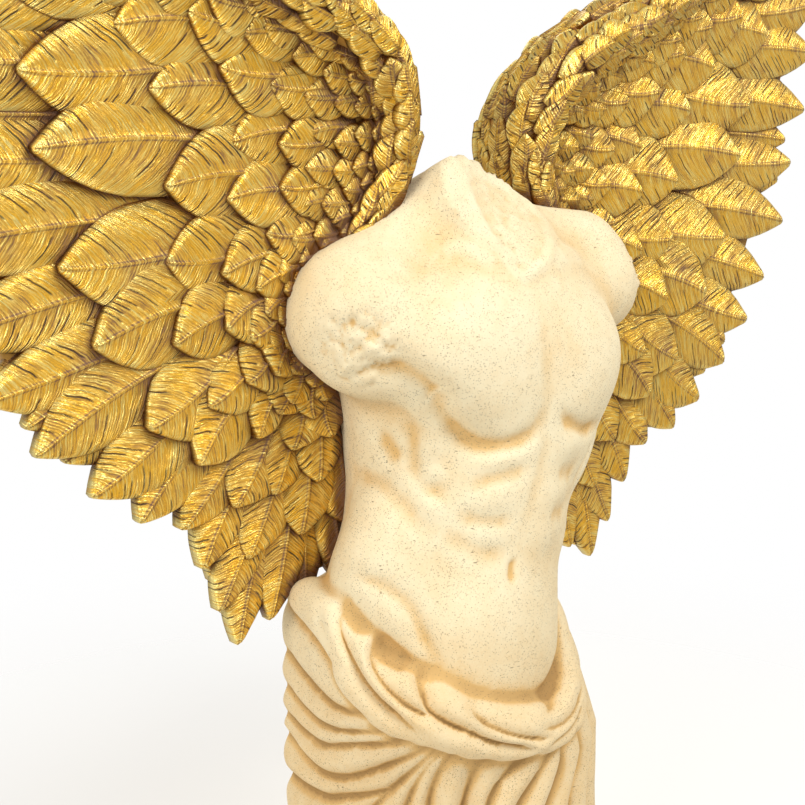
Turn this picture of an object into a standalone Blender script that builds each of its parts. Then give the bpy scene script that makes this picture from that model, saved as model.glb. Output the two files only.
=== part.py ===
"""A winged wall sculpture: a broken male torso in a cloth, with a pair of feathered wings behind it.

Metres, +Z up, the front faces -Y. The wall is the plane y = 0, and the origin is on the
torso's flat back, between the shoulder blades, where it bears on the wall.
"""
import math

import bmesh
import bpy
import numpy as np
from mathutils import Vector, noise

# Driving sizes
FIGURE_HEIGHT = 0.760        # from the broken neck down to the hem of the cloth
WING_HEIGHT = 0.739          # from a wing's lowest feather up to its tip
BLADE_THICKNESS = 0.018      # the wing's bed behind its feathers
FEATHER_THICKNESS = 0.009
FEATHER_LIFT = 0.0065        # how far a feather's tip stands off the ones that it covers
RIM_WIDTH = 0.042            # the ridge along a wing's leading edge, seen from the front
BED_SINK = 0.018             # how far the feathers' bed lies behind the ridge's front
BED_FALL = 0.16              # the distance over which it falls back
JOINT_GAP = 0.0003           # between a wing's root and the torso that it is fixed to
SKIN_STEP = 0.008            # fineness of the figure before it is thinned out
CARVED_STEP = 0.005          # the same once its folds are carved
WING_STEP = 0.0036           # and of a wing
FIGURE_TRIANGLES = 4200
WING_TRIANGLES = 3300

# The figure is drawn in parts of its own height, the wings in parts of theirs
FIGURE_PARTS = 760.0
WING_PARTS = 739.0
FIGURE_UNIT = FIGURE_HEIGHT / FIGURE_PARTS
WING_UNIT = WING_HEIGHT / WING_PARTS

# The trunk's middle line: height, x and y
AXIS = (
    (-580, -6, -90), (-470, -14, -92), (-290, -46, -96), (-165, -36, -96),
    (-60, -4, -92), (60, 4, -88), (180, 0, -90),
)

# Masses of the body: middle, half-sizes, lean in degrees, softness of the join
MASSES = (
    ((4, -97, -20), (118, 98, 150), 0, 0),           # rib cage
    ((4, -84, 62), (148, 60, 46), 0, 40),            # shoulder girdle
    ((-40, -104, -160), (98, 78, 125), 0, 32),       # waist
    ((-60, -98, -290), (116, 98, 120), 0, 50),       # pelvis
    ((-131, -88, 44), (52, 58, 52), -14, 44),        # left shoulder
    ((138, -90, 62), (50, 52, 48), 8, 34),           # right shoulder
    ((-62, -146, 18), (76, 46, 58), -12, 26),        # left chest
    ((54, -144, 6), (58, 46, 56), 8, 24),            # right chest
    ((-88, -78, -46), (32, 40, 100), 4, 22),        # back muscle, left
    ((100, -70, -30), (30, 46, 90), -10, 24),        # back muscle, right
    ((-22, -140, -130), (58, 50, 110), 0, 26),       # upper belly
    ((-46, -140, -236), (80, 64, 92), 0, 26),        # lower belly
    ((-114, -108, -186), (44, 46, 52), 12, 26),      # left flank
    ((6, -104, -205), (44, 56, 50), -14, 24),        # right flank
)
# Rounded limbs: start, end, their radii, softness of the join
LIMBS = (
    ((-138, -98, 46), (-136, -110, 24), 42, 34, 30),     # what is left of the left arm
    ((-36, -74, 128), (-130, -84, 74), 32, 26, 34),      # slope from neck to left shoulder
    ((24, -74, 112), (132, -86, 102), 30, 27, 30),        # slope from neck to right shoulder
)
NECK = ((2, -84, 62), (-8, -112, 138), 62, 52, 24)
NECK_BREAK_POINT = (-4, -122, 130)
NECK_BREAK_FACING = (0.24, -0.79, 0.57)
BACK_LINE = -70              # behind this depth the figure runs back to the wall more steeply
BACK_STRETCH = 0.6

# The cloth's oval column: height, x of its middle, half-width, half-depth
COLUMN_MIDDLE = -90
HEM = -578
COLUMN = (
    (-580, -13, 145, 122), (-470, -18, 144, 120), (-400, -25, 146, 122), (-340, -26, 147, 124), (-250, -44, 129, 112),
)
# The twisted roll round the hips: angle round the cloth, height, half-size, how far it is sunk in
ROLL = (
    (-118, -204, 21, 18), (-100, -206, 22, 17), (-84, -212, 24, 13), (-68, -238, 28, 7), (-52, -261, 31, 3),
    (-38, -271, 31, 2), (-22, -286, 28, 2), (-6, -297, 26, 3), (10, -301, 24, 5), (24, -296, 24, 10),
    (36, -283, 25, 18), (48, -266, 27, 24), (62, -250, 28, 27), (84, -238, 27, 24), (108, -230, 25, 19),
)

# Creases (minus) and ridges: depth, half-width, places as (angle round the trunk, height)
CLOTH_LINES = (
    (-16, 7, ((-83, -184), (-76, -209), (-66, -243), (-54, -268), (-45, -284))),
    (-8, 6, ((-69, -206), (-63, -225), (-56, -244), (-47, -260), (-35, -272))),
    (-9, 6, ((-51, -230), (-45, -245), (-42, -260), (-33, -276), (-22, -287))),
    (-8, 6, ((-34, -270), (-26, -285), (-16, -300), (0, -314))),
    (-6, 6, ((-30, -258), (-23, -272), (-15, -284), (-3, -298), (10, -306))),
    (-4.5, 6, ((42, -256), (22, -275), (6, -285))),
    (-4.5, 6, ((44, -282), (26, -294), (11, -296), (-2, -291))),
    (-4.5, 6, ((40, -292), (23, -305), (12, -311), (1, -315))),
    (-8, 8, ((-118, -222), (-98, -230), (-78, -238))),
    (-9, 8, ((-120, -268), (-96, -274), (-82, -280), (-65, -275))),
    (-9, 8, ((-122, -300), (-99, -303), (-82, -301), (-70, -295), (-57, -289))),
    (-9, 8, ((-124, -326), (-96, -324), (-78, -312), (-61, -303), (-47, -291))),
    (-10, 8, ((-124, -346), (-101, -352), (-83, -346), (-69, -333), (-54, -316), (-40, -298))),
    (-10, 8, ((-124, -386), (-95, -373), (-82, -362), (-60, -345), (-46, -318))),
    (-9, 8, ((-112, -470), (-88, -430), (-76, -384), (-65, -354), (-52, -328), (-38, -298))),
    (-8, 8, ((-84, -540), (-68, -450), (-60, -385), (-50, -335), (-36, -299))),
    (-9, 8, ((-60, -565), (-54, -480), (-50, -400), (-44, -340), (-32, -301))),
    (-17, 8, ((-40, -560), (-37, -470), (-35, -390), (-28, -337), (-20, -313))),
    (-7, 7, ((-20, -570), (-26, -470), (-24, -380), (-13, -338), (10, -312))),
    (-8, 7, ((2, -565), (-10, -460), (-12, -390), (2, -350), (17, -318))),
    (-8, 7, ((24, -560), (6, -460), (4, -400), (18, -352), (27, -297))),
    (-8, 8, ((46, -565), (26, -470), (24, -400), (36, -345), (34, -299))),
    (-8, 8, ((66, -560), (46, -470), (44, -390), (54, -330), (50, -270))),
    (-8, 8, ((84, -560), (68, -460), (66, -380), (74, -290))),
    (-8, 9, ((100, -560), (88, -430), (96, -300))),
)
BODY_LINES = (
    (-7, 9, ((-60, -18), (-52, -34), (-45, -48), (-36, -56), (-24, -56), (-13, -49), (-6, -32))),
    (-6, 8, ((4, -30), (11, -43), (26, -54), (42, -54))),
    (-5, 9, ((-83, -52), (-74, -70))),
    (-4, 9, ((-68, -36), (-66, -74), (-55, -93), (-47, -107))),
    (-3, 9, ((-38, -88), (-23, -81), (-9, -77))),
    (-3, 9, ((-48, -127), (-26, -143), (-12, -150))),
    (-4, 5, ((-7, -154), (-6, -170))),
    (-5, 11, ((-104, -90), (-81, -92), (-69, -103), (-60, -115), (-51, -127))),
    (-4, 8, ((-86, -163), (-72, -165), (-63, -173), (-55, -187), (-48, -210), (-40, -236))),
    (-1.5, 10, ((-8, 60), (-6, 0), (-3, -65), (-3, -98), (-6, -136))),
    (-13, 14, ((-68, 14), (-62, 4), (-52, -20))),
    (-4, 10, ((56, -40), (50, -70), (40, -104))),
    (-5, 5, ((-67, -209), (-59, -223), (-51, -233))),
    (-4, 7, ((-92, -190), (-81, -221), (-70, -250))),
    (-2.5, 8, ((-42, -112), (-28, -119), (-12, -121))),
    (-2, 12, ((-52, 80), (-57, 45), (-63, 15))),
    (2.5, 9, ((-30, 92), (-50, 104), (-66, 98))),
    (2.5, 9, ((6, 92), (40, 96), (66, 92))),
    (-2.5, 9, ((12, -88), (30, -92))),
    (-2.5, 9, ((12, -122), (32, -126))),
    (-4, 10, ((96, -100), (66, -112), (44, -134))),
    (2.5, 5, ((-91, 181), (-60, 165), (-42, 134), (-33, 115), (-25, 100), (-16, 81), (0, 87), (29, 107), (65, 122))),
)
# Swellings: height, half-size round the trunk, upright half-size, angle, height of the place
SWELLINGS = (
    (4, 16, 12, -59, -57), (4, 15, 11, -58, -82), (4, 15, 12, -54, -106),
    (3.5, 26, 15, -27, -64), (3.5, 26, 15, -27, -100), (3.5, 24, 15, 15, -64),
    (3.5, 24, 15, 15, -102), (6, 44, 34, -82, -128), (5, 30, 34, 50, -150),
    (3, 26, 15, -27, -134), (3, 24, 15, 14, -136), (3, 24, 20, -58, -200), (3.5, 40, 26, -24, -196),
    (4, 44, 30, -34, -26), (3, 34, 28, 22, -22),
)
# Broken places, where the casting is rough: middle, radius, depth of the roughness
BREAKS = (
    ((-160, -134, 28), 38, 10.0),
    ((174, -112, 62), 32, 5.0),
)
BREAK_GRAIN = 11             # size of the lumps in a broken place
DEGREE = 2.15                # parts of the figure's height that one degree round the trunk covers

# A wing's leading edge and its line of feather tips, as (out from the middle, height)
RIM_LINE = (
    (144, 18), (162, 50), (152, 78), (118, 108), (94, 142), (79, 184), (85, 228), (120, 270),
    (204, 312), (300, 364), (400, 430), (474, 486),
)
TIP_LINE = (
    (70, -168), (116, -186), (168, -206), (216, -237), (236, -192), (257, -150), (286, -112), (335, -95),
    (424, -10), (470, 70), (500, 150), (516, 240), (525, 340), (518, 430), (492, 502),
)
RIM_SHARE = 0.05             # the part of the leading edge that the lower feathers all spring from
RIM_TURN = 3.1               # how soon the feathers start to follow the leading edge upwards
# The ridge, from the thin collar round the shoulder: share along it, front and back from the wall, share of the width
RIM_SECTION = (
    (0.0, 0.072, 0.040, 0.30), (0.052, 0.073, 0.034, 0.36), (0.121, 0.076, 0.022, 0.45), (0.182, 0.080, 0.012, 0.75),
    (0.247, 0.086, 0.009, 1.0), (0.312, 0.094, 0.013, 1.0), (0.392, 0.113, 0.034, 1.0), (0.529, 0.121, 0.038, 1.0),
    (0.69, 0.122, 0.040, 1.0), (1.0, 0.122, 0.038, 1.0),
)
COLLAR = 0.15                # the share of the leading edge that is a thin collar round the shoulder
# How far the bed stands out from the wall at the feather tips, from the lowest ones upwards
BED_FAR = ((0.0, 0.014), (0.15, 0.011), (0.24, 0.021), (0.31, 0.038), (0.43, 0.044), (1.0, 0.044))
BED_REACH = 0.90             # how far out towards the tips the bed goes
# Rows of feathers: where the tips end between leading edge and tip line, width of a feather
FEATHER_ROWS = (
    (0.105, 30), (0.205, 38), (0.355, 50), (0.56, 66), (0.79, 68), (1.0, 54),
)
# The outline of a feather: share of its length, share of its width, share of its lift
FEATHER_SHAPE = ((0.0, 0.80, -0.3), (0.5, 1.0, 0.35), (0.84, 0.76, 0.95), (1.0, 0.18, 1.0))
FEATHER_OVERLAP = 1.22
FEATHER_CROWN = 0.06
RIM_FEATHER = (30, 48)       # width and length of the feathers on the ridge


def blend(a, b, softness):
    """The union of two distances, rounded where they meet."""
    if softness <= 0:
        return np.minimum(a, b)
    h = np.clip(0.5 + 0.5 * (b - a) / softness, 0.0, 1.0)
    return b + (a - b) * h - softness * h * (1.0 - h)


def trim(a, b, softness):
    """What two distances have in common, rounded where they meet."""
    return -blend(-a, -b, softness)


def ellipsoid(p, middle, half, lean):
    q = p - np.array(middle, float)
    c = math.cos(math.radians(lean))
    s = math.sin(math.radians(lean))
    q = np.stack([q[:, 0] * c + q[:, 2] * s, q[:, 1], q[:, 2] * c - q[:, 0] * s], 1)
    r = np.array(half, float)
    k0 = np.linalg.norm(q / r, axis=1)
    k1 = np.linalg.norm(q / (r * r), axis=1)
    return k0 * (k0 - 1.0) / np.maximum(k1, 1e-9)


def limb(p, start, end, r0, r1):
    a = np.array(start, float)
    run = np.array(end, float) - a
    t = np.clip((p - a) @ run / (run @ run), 0.0, 1.0)
    return np.linalg.norm(p - a - t[:, None] * run, axis=1) - (r0 + (r1 - r0) * t)


def plane(p, point, facing):
    n = np.array(facing, float)
    return (p - np.array(point, float)) @ (n / np.linalg.norm(n))


def trunk_angle(p):
    """Angle round the trunk in degrees: 0 faces the front, minus is the viewer's left."""
    z = [row[0] for row in AXIS]
    x = np.interp(p[:, 2], z, [row[1] for row in AXIS])
    y = np.interp(p[:, 2], z, [row[2] for row in AXIS])
    return np.degrees(np.arctan2(p[:, 0] - x, y - p[:, 1]))


def body_distance(p):
    d = None
    for middle, half, lean, softness in MASSES:
        part = ellipsoid(p, middle, half, lean)
        d = part if d is None else blend(d, part, softness)
    start, end, r0, r1, softness = NECK
    neck = trim(limb(p, start, end, r0, r1), plane(p, NECK_BREAK_POINT, NECK_BREAK_FACING), 5)
    d = blend(d, neck, softness)
    for start, end, r0, r1, softness in LIMBS:
        d = blend(d, limb(p, start, end, r0, r1), softness)
    return d


def column_at(z):
    """Middle and half-sizes of the cloth's oval column at a height."""
    heights = [row[0] for row in COLUMN]
    return [np.interp(z, heights, [row[k] for row in COLUMN]) for k in (1, 2, 3)]


def column_distance(p):
    middle, wide, deep = column_at(p[:, 2])
    across = (p[:, 0] - middle) / wide
    forward = (COLUMN_MIDDLE - p[:, 1]) / deep
    angle = np.degrees(np.arctan2(across, forward))
    top = np.interp(angle, ROLL_PATH[:, 0], ROLL_PATH[:, 1])
    d = trim((np.hypot(across, forward) - 1.0) * deep, p[:, 2] - top, 10)
    return trim(d, HEM - p[:, 2], 6)


def curve_through(points, steps):
    """Places along the smooth curve through the given points."""
    pts = np.array(points, float)
    ext = np.vstack([2 * pts[0] - pts[1], pts, 2 * pts[-1] - pts[-2]])
    places = []
    for i in range(len(pts) - 1):
        p0, p1, p2, p3 = ext[i:i + 4]
        for k in range(steps):
            f = k / steps
            places.append(0.5 * (2 * p1 + (p2 - p0) * f + (2 * p0 - 5 * p1 + 4 * p2 - p3) * f * f
                                 + (3 * p1 - p0 - 3 * p2 + p3) * f ** 3))
    places.append(pts[-1])
    return np.array(places)


ROLL_PATH = curve_through(ROLL, 6)


def roll_distance(p):
    """Distance to the roll: a tube whose height and size change smoothly round the hips."""
    middle, wide, deep = column_at(p[:, 2])
    across = (p[:, 0] - middle) / wide
    forward = (COLUMN_MIDDLE - p[:, 1]) / deep
    angle = np.degrees(np.arctan2(across, forward))
    height = np.interp(angle, ROLL_PATH[:, 0], ROLL_PATH[:, 1])
    half = np.interp(angle, ROLL_PATH[:, 0], ROLL_PATH[:, 2])
    sink = np.interp(angle, ROLL_PATH[:, 0], ROLL_PATH[:, 3])
    run = np.gradient(ROLL_PATH[:, 1], ROLL_PATH[:, 0])
    slope = np.interp(angle, ROLL_PATH[:, 0], run) / DEGREE
    radius = np.hypot(wide * np.sin(np.radians(angle)), deep * np.cos(np.radians(angle)))
    outwards = (np.hypot(across, forward) - 1.0) * radius + sink
    upwards = (p[:, 2] - height) / np.sqrt(1.0 + slope * slope)
    past = np.maximum(np.abs(angle) - ROLL_PATH[-1, 0], 0.0) * DEGREE
    return np.sqrt(outwards ** 2 + upwards ** 2 + past ** 2) - half


def roll_places():
    """The roll's middle line, sunk a little into the column."""
    places = []
    for angle, z, _, sink in ROLL:
        a = math.radians(angle)
        middle, wide, deep = column_at(z)
        places.append((middle + (wide - sink) * math.sin(a), COLUMN_MIDDLE - (deep - sink) * math.cos(a), z))
    return places


def figure_distance(p):
    """Signed distance to the smooth figure, all in parts of its height."""
    q = p.copy()
    behind = q[:, 1] > BACK_LINE
    q[behind, 1] = BACK_LINE + (q[behind, 1] - BACK_LINE) * BACK_STRETCH
    d = blend(body_distance(q), column_distance(q), 10)
    return blend(d, roll_distance(q), 6)


def line_relief(s, z, depth, width, points, sharpness):
    """A crease or ridge along the points, which fades out at both ends."""
    path = curve_through(points, 4) * (DEGREE, 1.0)
    steps = np.linalg.norm(np.diff(path, axis=0), axis=1)
    run = np.concatenate([[0.0], np.cumsum(steps)])
    reach = 3.4 * width
    low = path.min(0) - reach
    high = path.max(0) + reach
    near = np.flatnonzero((s > low[0]) & (s < high[0]) & (z > low[1]) & (z < high[1]))
    place = np.stack([s[near], z[near]], 1)
    share = np.zeros(len(near))
    for i, (a, b) in enumerate(zip(path, path[1:])):
        t = np.clip((place - a) @ (b - a) / max((b - a) @ (b - a), 1e-9), 0.0, 1.0)
        d = np.linalg.norm(place - a - t[:, None] * (b - a), axis=1)
        along = run[i] + t * steps[i]
        fade = np.clip(np.minimum(along, run[-1] - along) / (0.25 * run[-1]) + 0.08, 0.0, 1.0)
        share = np.maximum(share, fade * np.exp(-(d / width) ** sharpness))
    relief = np.zeros(len(s))
    relief[near] = depth * share
    return relief


def broken_relief(p):
    """The crumbled stone where an arm is broken off."""
    relief = np.zeros(len(p))
    for middle, radius, depth in BREAKS:
        away = np.linalg.norm(p - np.array(middle, float), axis=1) / radius
        for i in np.flatnonzero(away < 1.2):
            cells = noise.voronoi(Vector(p[i]) / BREAK_GRAIN)[0]
            edge = 1.0 / (1.0 + math.exp((away[i] - 0.9) * 12.0))
            relief[i] += depth * edge * (0.8 * (cells[1] - cells[0]) - 0.5)
    return relief


def figure_relief(p):
    """How far the muscles and folds stand out from the smooth figure."""
    s = trunk_angle(p) * DEGREE
    z = p[:, 2]
    relief = np.zeros(len(p))
    for depth, width, points in BODY_LINES:
        relief += line_relief(s, z, depth, width, points, 2.0)
    for height, wide, tall, angle, level in SWELLINGS:
        relief += height * np.exp(-((s - angle * DEGREE) / wide) ** 2 - ((z - level) / tall) ** 2)
    folds = np.zeros(len(p))
    for depth, width, points in CLOTH_LINES:
        folds = np.minimum(folds, line_relief(s, z, depth, width, points, 1.4))
    return relief + folds + broken_relief(p)


def outward(p):
    """The direction away from the smooth figure at each place."""
    step = 0.5
    slope = np.zeros_like(p)
    for k in range(3):
        offset = np.zeros(3)
        offset[k] = step
        slope[:, k] = figure_distance(p + offset) - figure_distance(p - offset)
    return slope / np.maximum(np.linalg.norm(slope, axis=1, keepdims=True), 1e-9)


def settle(p):
    """Moves rough places on to the smooth figure, then raises the relief on them."""
    for _ in range(7):
        p = p - outward(p) * figure_distance(p)[:, None] * 0.9
    return p + outward(p) * figure_relief(p)[:, None]


def material(name, colour, roughness, metallic):
    mat = bpy.data.materials.new(name)
    mat.use_nodes = True
    shader = mat.node_tree.nodes["Principled BSDF"]
    shader.inputs["Base Color"].default_value = (*colour, 1.0)
    shader.inputs["Roughness"].default_value = roughness
    shader.inputs["Metallic"].default_value = metallic
    return mat


def collection(name):
    coll = bpy.data.collections.new(name)
    bpy.context.scene.collection.children.link(coll)
    return coll


def add_object(name, bm, coll):
    mesh = bpy.data.meshes.new(name)
    bm.to_mesh(mesh)
    bm.free()
    obj = bpy.data.objects.new(name, mesh)
    coll.objects.link(obj)
    return obj


def as_plain_mesh(obj):
    """Keeps an object's evaluated mesh and drops its modifiers."""
    graph = bpy.context.evaluated_depsgraph_get()
    mesh = bpy.data.meshes.new_from_object(obj.evaluated_get(graph))
    obj.modifiers.clear()
    obj.data = mesh
    return obj


def merge_skin(obj, step):
    """Makes one closed skin of everything in an object, this fine."""
    skin = obj.modifiers.new("one_skin", "REMESH")
    skin.mode = "VOXEL"
    skin.voxel_size = step
    as_plain_mesh(obj)


def thin_out(obj, triangles):
    """Leaves about this many triangles, where the shape needs them."""
    obj.data.calc_loop_triangles()
    thin = obj.modifiers.new("thin_out", "DECIMATE")
    thin.ratio = min(1.0, triangles / len(obj.data.loop_triangles))
    as_plain_mesh(obj)


def rough_ball(bm, middle, half, lean=0.0):
    """An oval ball of the rough figure, in parts of its height."""
    ball = bmesh.ops.create_icosphere(bm, subdivisions=3, radius=1.0)["verts"]
    c = math.cos(math.radians(lean))
    s = math.sin(math.radians(lean))
    for vert in ball:
        x, y, z = (vert.co[k] * half[k] for k in range(3))
        vert.co = (middle[0] + x * c - z * s, middle[1] + y, middle[2] + x * s + z * c)


def rough_limb(bm, start, end, r0, r1):
    balls = 7
    for i in range(balls):
        t = i / (balls - 1)
        radius = r0 + (r1 - r0) * t
        middle = Vector(start).lerp(Vector(end), t)
        rough_ball(bm, middle, (radius, radius, radius))


def rough_figure(coll):
    """All masses as overlapping balls and a column, merged into one skin."""
    bm = bmesh.new()
    for middle, half, lean, _ in MASSES:
        rough_ball(bm, middle, half, lean)
    for start, end, r0, r1, _ in LIMBS:
        rough_limb(bm, start, end, r0, r1)
    rough_limb(bm, NECK[0], Vector(NECK[0]).lerp(Vector(NECK[1]), 0.55), NECK[2], NECK[3])
    places = roll_places()
    for start, end, row in zip(places, places[1:], ROLL):
        rough_limb(bm, start, end, row[2] - 3, row[2] - 3)
    top = min(row[1] for row in ROLL)
    column = bmesh.ops.create_cone(bm, cap_ends=True, segments=40, radius1=1.0, radius2=1.0, depth=1.0)["verts"]
    for vert in column:
        z = HEM if vert.co.z < 0 else top
        middle, wide, deep = column_at(z)
        vert.co = (middle + vert.co.x * wide, COLUMN_MIDDLE + vert.co.y * deep, z)
    for vert in bm.verts:
        y = vert.co.y
        if y > BACK_LINE:
            vert.co.y = BACK_LINE + (y - BACK_LINE) / BACK_STRETCH
        vert.co *= FIGURE_UNIT
    obj = add_object("torso_with_drape", bm, coll)
    merge_skin(obj, SKIN_STEP)
    return obj


def torso_with_drape(coll, cutters, mat):
    """The figure: one casting of broken torso, cloth and flat back."""
    obj = rough_figure(coll)
    mesh = obj.data
    places = np.empty(len(mesh.vertices) * 3)
    mesh.vertices.foreach_get("co", places)
    places = settle(places.reshape(-1, 3) / FIGURE_UNIT) * FIGURE_UNIT
    mesh.vertices.foreach_set("co", places.ravel())
    mesh.update()
    merge_skin(obj, CARVED_STEP)
    thin_out(obj, FIGURE_TRIANGLES)
    wall = bmesh.new()
    bmesh.ops.create_cube(wall, size=2 * FIGURE_HEIGHT)
    for vert in wall.verts:
        vert.co.y += FIGURE_HEIGHT
    wall_cut = add_object("wall_cut", wall, cutters)
    hide_cutter(wall_cut)
    cut = obj.modifiers.new("flat_back", "BOOLEAN")
    cut.operation = "DIFFERENCE"
    cut.object = wall_cut
    as_plain_mesh(obj)
    obj.data.materials.clear()
    obj.data.materials.append(mat)
    return obj


def hide_cutter(obj):
    obj.hide_render = True
    obj.display_type = "WIRE"


def on_line(points, t):
    """The place at share t of a smooth line's length."""
    path = curve_through(points, 8)
    run = np.concatenate([[0.0], np.cumsum(np.linalg.norm(np.diff(path, axis=0), axis=1))])
    at = min(max(t, 0.0), 1.0) * run[-1]
    return np.array([np.interp(at, run, path[:, 0]), np.interp(at, run, path[:, 1])]) * WING_UNIT


def rim_share(t):
    """Where along the leading edge the feather at t springs from."""
    return RIM_SHARE * t + (1.0 - RIM_SHARE) * t ** RIM_TURN


def wing_spot(t, v):
    """Place on the wing: t from the lowest feather to the wing's tip, v from the rim to the feather tips."""
    root = on_line(RIM_LINE, rim_share(t))
    return root + (on_line(TIP_LINE, t) - root) * v


def rim_section(share):
    """Front, back and width of the ridge at a share of its length."""
    shares = [row[0] for row in RIM_SECTION]
    slim = 1.0 - 0.6 * max(0.0, (share - 0.45) / 0.55) ** 1.3
    front, back, wide = (float(np.interp(share, shares, [row[k] for row in RIM_SECTION])) for k in (1, 2, 3))
    middle = (front + back) / 2
    return middle + (front - back) / 2 * slim, middle - (front - back) / 2 * slim, RIM_WIDTH * wide * slim


def bed_depth(t, v):
    """How far the bed stands out from the wall."""
    out = np.linalg.norm(wing_spot(t, v) - wing_spot(t, 0.0))
    near = rim_section(rim_share(t))[0] - BED_SINK
    far = float(np.interp(t, [row[0] for row in BED_FAR], [row[1] for row in BED_FAR]))
    return far + (near - far) * math.exp(-out / BED_FALL)


def wing_place(t, v):
    x, z = wing_spot(t, v)
    return Vector((x, -bed_depth(t, v), z))


def wing_bed(coll):
    """The smooth bed that carries the feathers."""
    bm = bmesh.new()
    bmesh.ops.create_grid(bm, x_segments=18, y_segments=6, size=0.5)
    for vert in bm.verts:
        t = 0.01 + 0.98 * (vert.co.x + 0.5)
        vert.co = wing_place(t, (vert.co.y + 0.5) * BED_REACH)
    obj = add_object("wing_bed", bm, coll)
    wall = obj.modifiers.new("thickness", "SOLIDIFY")
    wall.thickness = BLADE_THICKNESS
    wall.offset = 1.0
    return as_plain_mesh(obj)


def rim_place(t, turn):
    """Place on the ridge: t along it, turn in degrees from its front towards the outer side."""
    here = on_line(RIM_LINE, t)
    run = on_line(RIM_LINE, min(t + 0.01, 1.0)) - on_line(RIM_LINE, max(t - 0.01, 0.0))
    run = run / np.linalg.norm(run)
    front, back, wide = rim_section(t)
    a = math.radians(turn)
    side = np.array([run[1], -run[0]]) * wide / 2 * math.sin(a)
    y = -(front + back) / 2 - (front - back) / 2 * math.cos(a)
    return Vector((here[0] + side[0], y, here[1] + side[1]))


def wing_rim(coll):
    """The ridge along the leading edge: one oval section after another."""
    stations = 24
    sides = 8
    bm = bmesh.new()
    rings = []
    for i in range(stations):
        t = i / (stations - 1)
        rings.append([bm.verts.new(rim_place(t, 360.0 * j / sides)) for j in range(sides)])
    for a, b in zip(rings, rings[1:]):
        for j in range(sides):
            k = (j + 1) % sides
            bm.faces.new((a[j], a[k], b[k], b[j]))
    bm.faces.new(rings[0])
    bm.faces.new(rings[-1])
    bmesh.ops.recalc_face_normals(bm, faces=bm.faces)
    return add_object("wing_rim", bm, coll)


def feather(coll, name, base, tip, facing, width):
    """One feather: a pointed blade with a raised middle, sunk at its base and proud at its tip."""
    bm = bmesh.new()
    bmesh.ops.create_grid(bm, x_segments=2, y_segments=len(FEATHER_SHAPE) - 1, size=0.5)
    axis = (tip - base).normalized()
    side = axis.cross(facing).normalized()
    up = side.cross(axis).normalized()
    for vert in bm.verts:
        across = vert.co.x * 2
        row = round((vert.co.y + 0.5) * (len(FEATHER_SHAPE) - 1))
        length, wide, lift = FEATHER_SHAPE[row]
        crown = FEATHER_CROWN * width * (1.0 - abs(across)) * wide
        place = base.lerp(tip, length) + side * (across * wide * width / 2)
        vert.co = place + up * (lift * FEATHER_LIFT + crown)
    obj = add_object(name, bm, coll)
    blade = obj.modifiers.new("thickness", "SOLIDIFY")
    blade.thickness = FEATHER_THICKNESS
    blade.offset = -1.0
    return obj


def row_shares(v, width, shift):
    """Even places along one row of feathers."""
    samples = np.linspace(0.0, 1.0, 120)
    places = np.array([wing_spot(t, v) for t in samples])
    run = np.concatenate([[0.0], np.cumsum(np.linalg.norm(np.diff(places, axis=0), axis=1))])
    count = max(int(run[-1] / (width * WING_UNIT)), 3)
    return [float(np.interp((i + shift) / count * run[-1], run, samples)) for i in range(count)]


def wing_feathers(coll):
    """All rows of feathers, the row at the tip line lowest, and those on the ridge."""
    reach = [0.0, 0.0] + [row[0] for row in FEATHER_ROWS]
    for k, (v, width) in enumerate(FEATHER_ROWS):
        for i, t in enumerate(row_shares(v, width, 0.3 + 0.45 * (k % 2))):
            base = wing_place(t, reach[k + 1] * 0.75)
            tip = wing_place(t, v)
            feather(coll, f"feather_{k}_{i}", base, tip, Vector((0, -1, 0)), width * WING_UNIT * FEATHER_OVERLAP)
    width, length = (size * WING_UNIT for size in RIM_FEATHER)
    whole = float(np.linalg.norm(np.diff(curve_through(RIM_LINE, 8), axis=0), axis=1).sum()) * WING_UNIT
    count = int(whole / (0.8 * length))
    for column, turn in enumerate((-38, 28)):
        for i in range(count):
            t = (i + 0.5 * column) / count
            if t < COLLAR:
                continue
            grow = rim_section(t)[2] / RIM_WIDTH
            base = rim_place(t, turn)
            tip = rim_place(min(t + length / whole, 1.0), turn * 1.15)
            facing = Vector((math.sin(math.radians(turn)), -math.cos(math.radians(turn)), 0))
            feather(coll, f"rim_feather_{column}_{i}", base, tip, facing, width * grow)


def only_largest(obj):
    """Drops the small pockets that the feathers enclose, so one closed body is left."""
    bm = bmesh.new()
    bm.from_mesh(obj.data)
    waiting = set(bm.verts)
    bodies = []
    while waiting:
        body = [waiting.pop()]
        for vert in body:
            for edge in vert.link_edges:
                other = edge.other_vert(vert)
                if other in waiting:
                    waiting.remove(other)
                    body.append(other)
        bodies.append(body)
    bodies.sort(key=len)
    for body in bodies[:-1]:
        bmesh.ops.delete(bm, geom=body, context="VERTS")
    bm.to_mesh(obj.data)
    bm.free()


def wing_blank(cutters):
    """The right wing before it is fitted to the torso: bed, ridge and feathers as one body."""
    loose = collection("wing_pieces")
    wing_bed(loose)
    wing_rim(loose)
    wing_feathers(loose)
    graph = bpy.context.evaluated_depsgraph_get()
    bm = bmesh.new()
    for piece in list(loose.objects):
        bm.from_mesh(bpy.data.meshes.new_from_object(piece.evaluated_get(graph)))
        bpy.data.objects.remove(piece)
    bpy.data.collections.remove(loose)
    body = add_object("wing_blank", bm, cutters)
    merge_skin(body, WING_STEP)
    only_largest(body)
    thin_out(body, WING_TRIANGLES)
    return body


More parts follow.
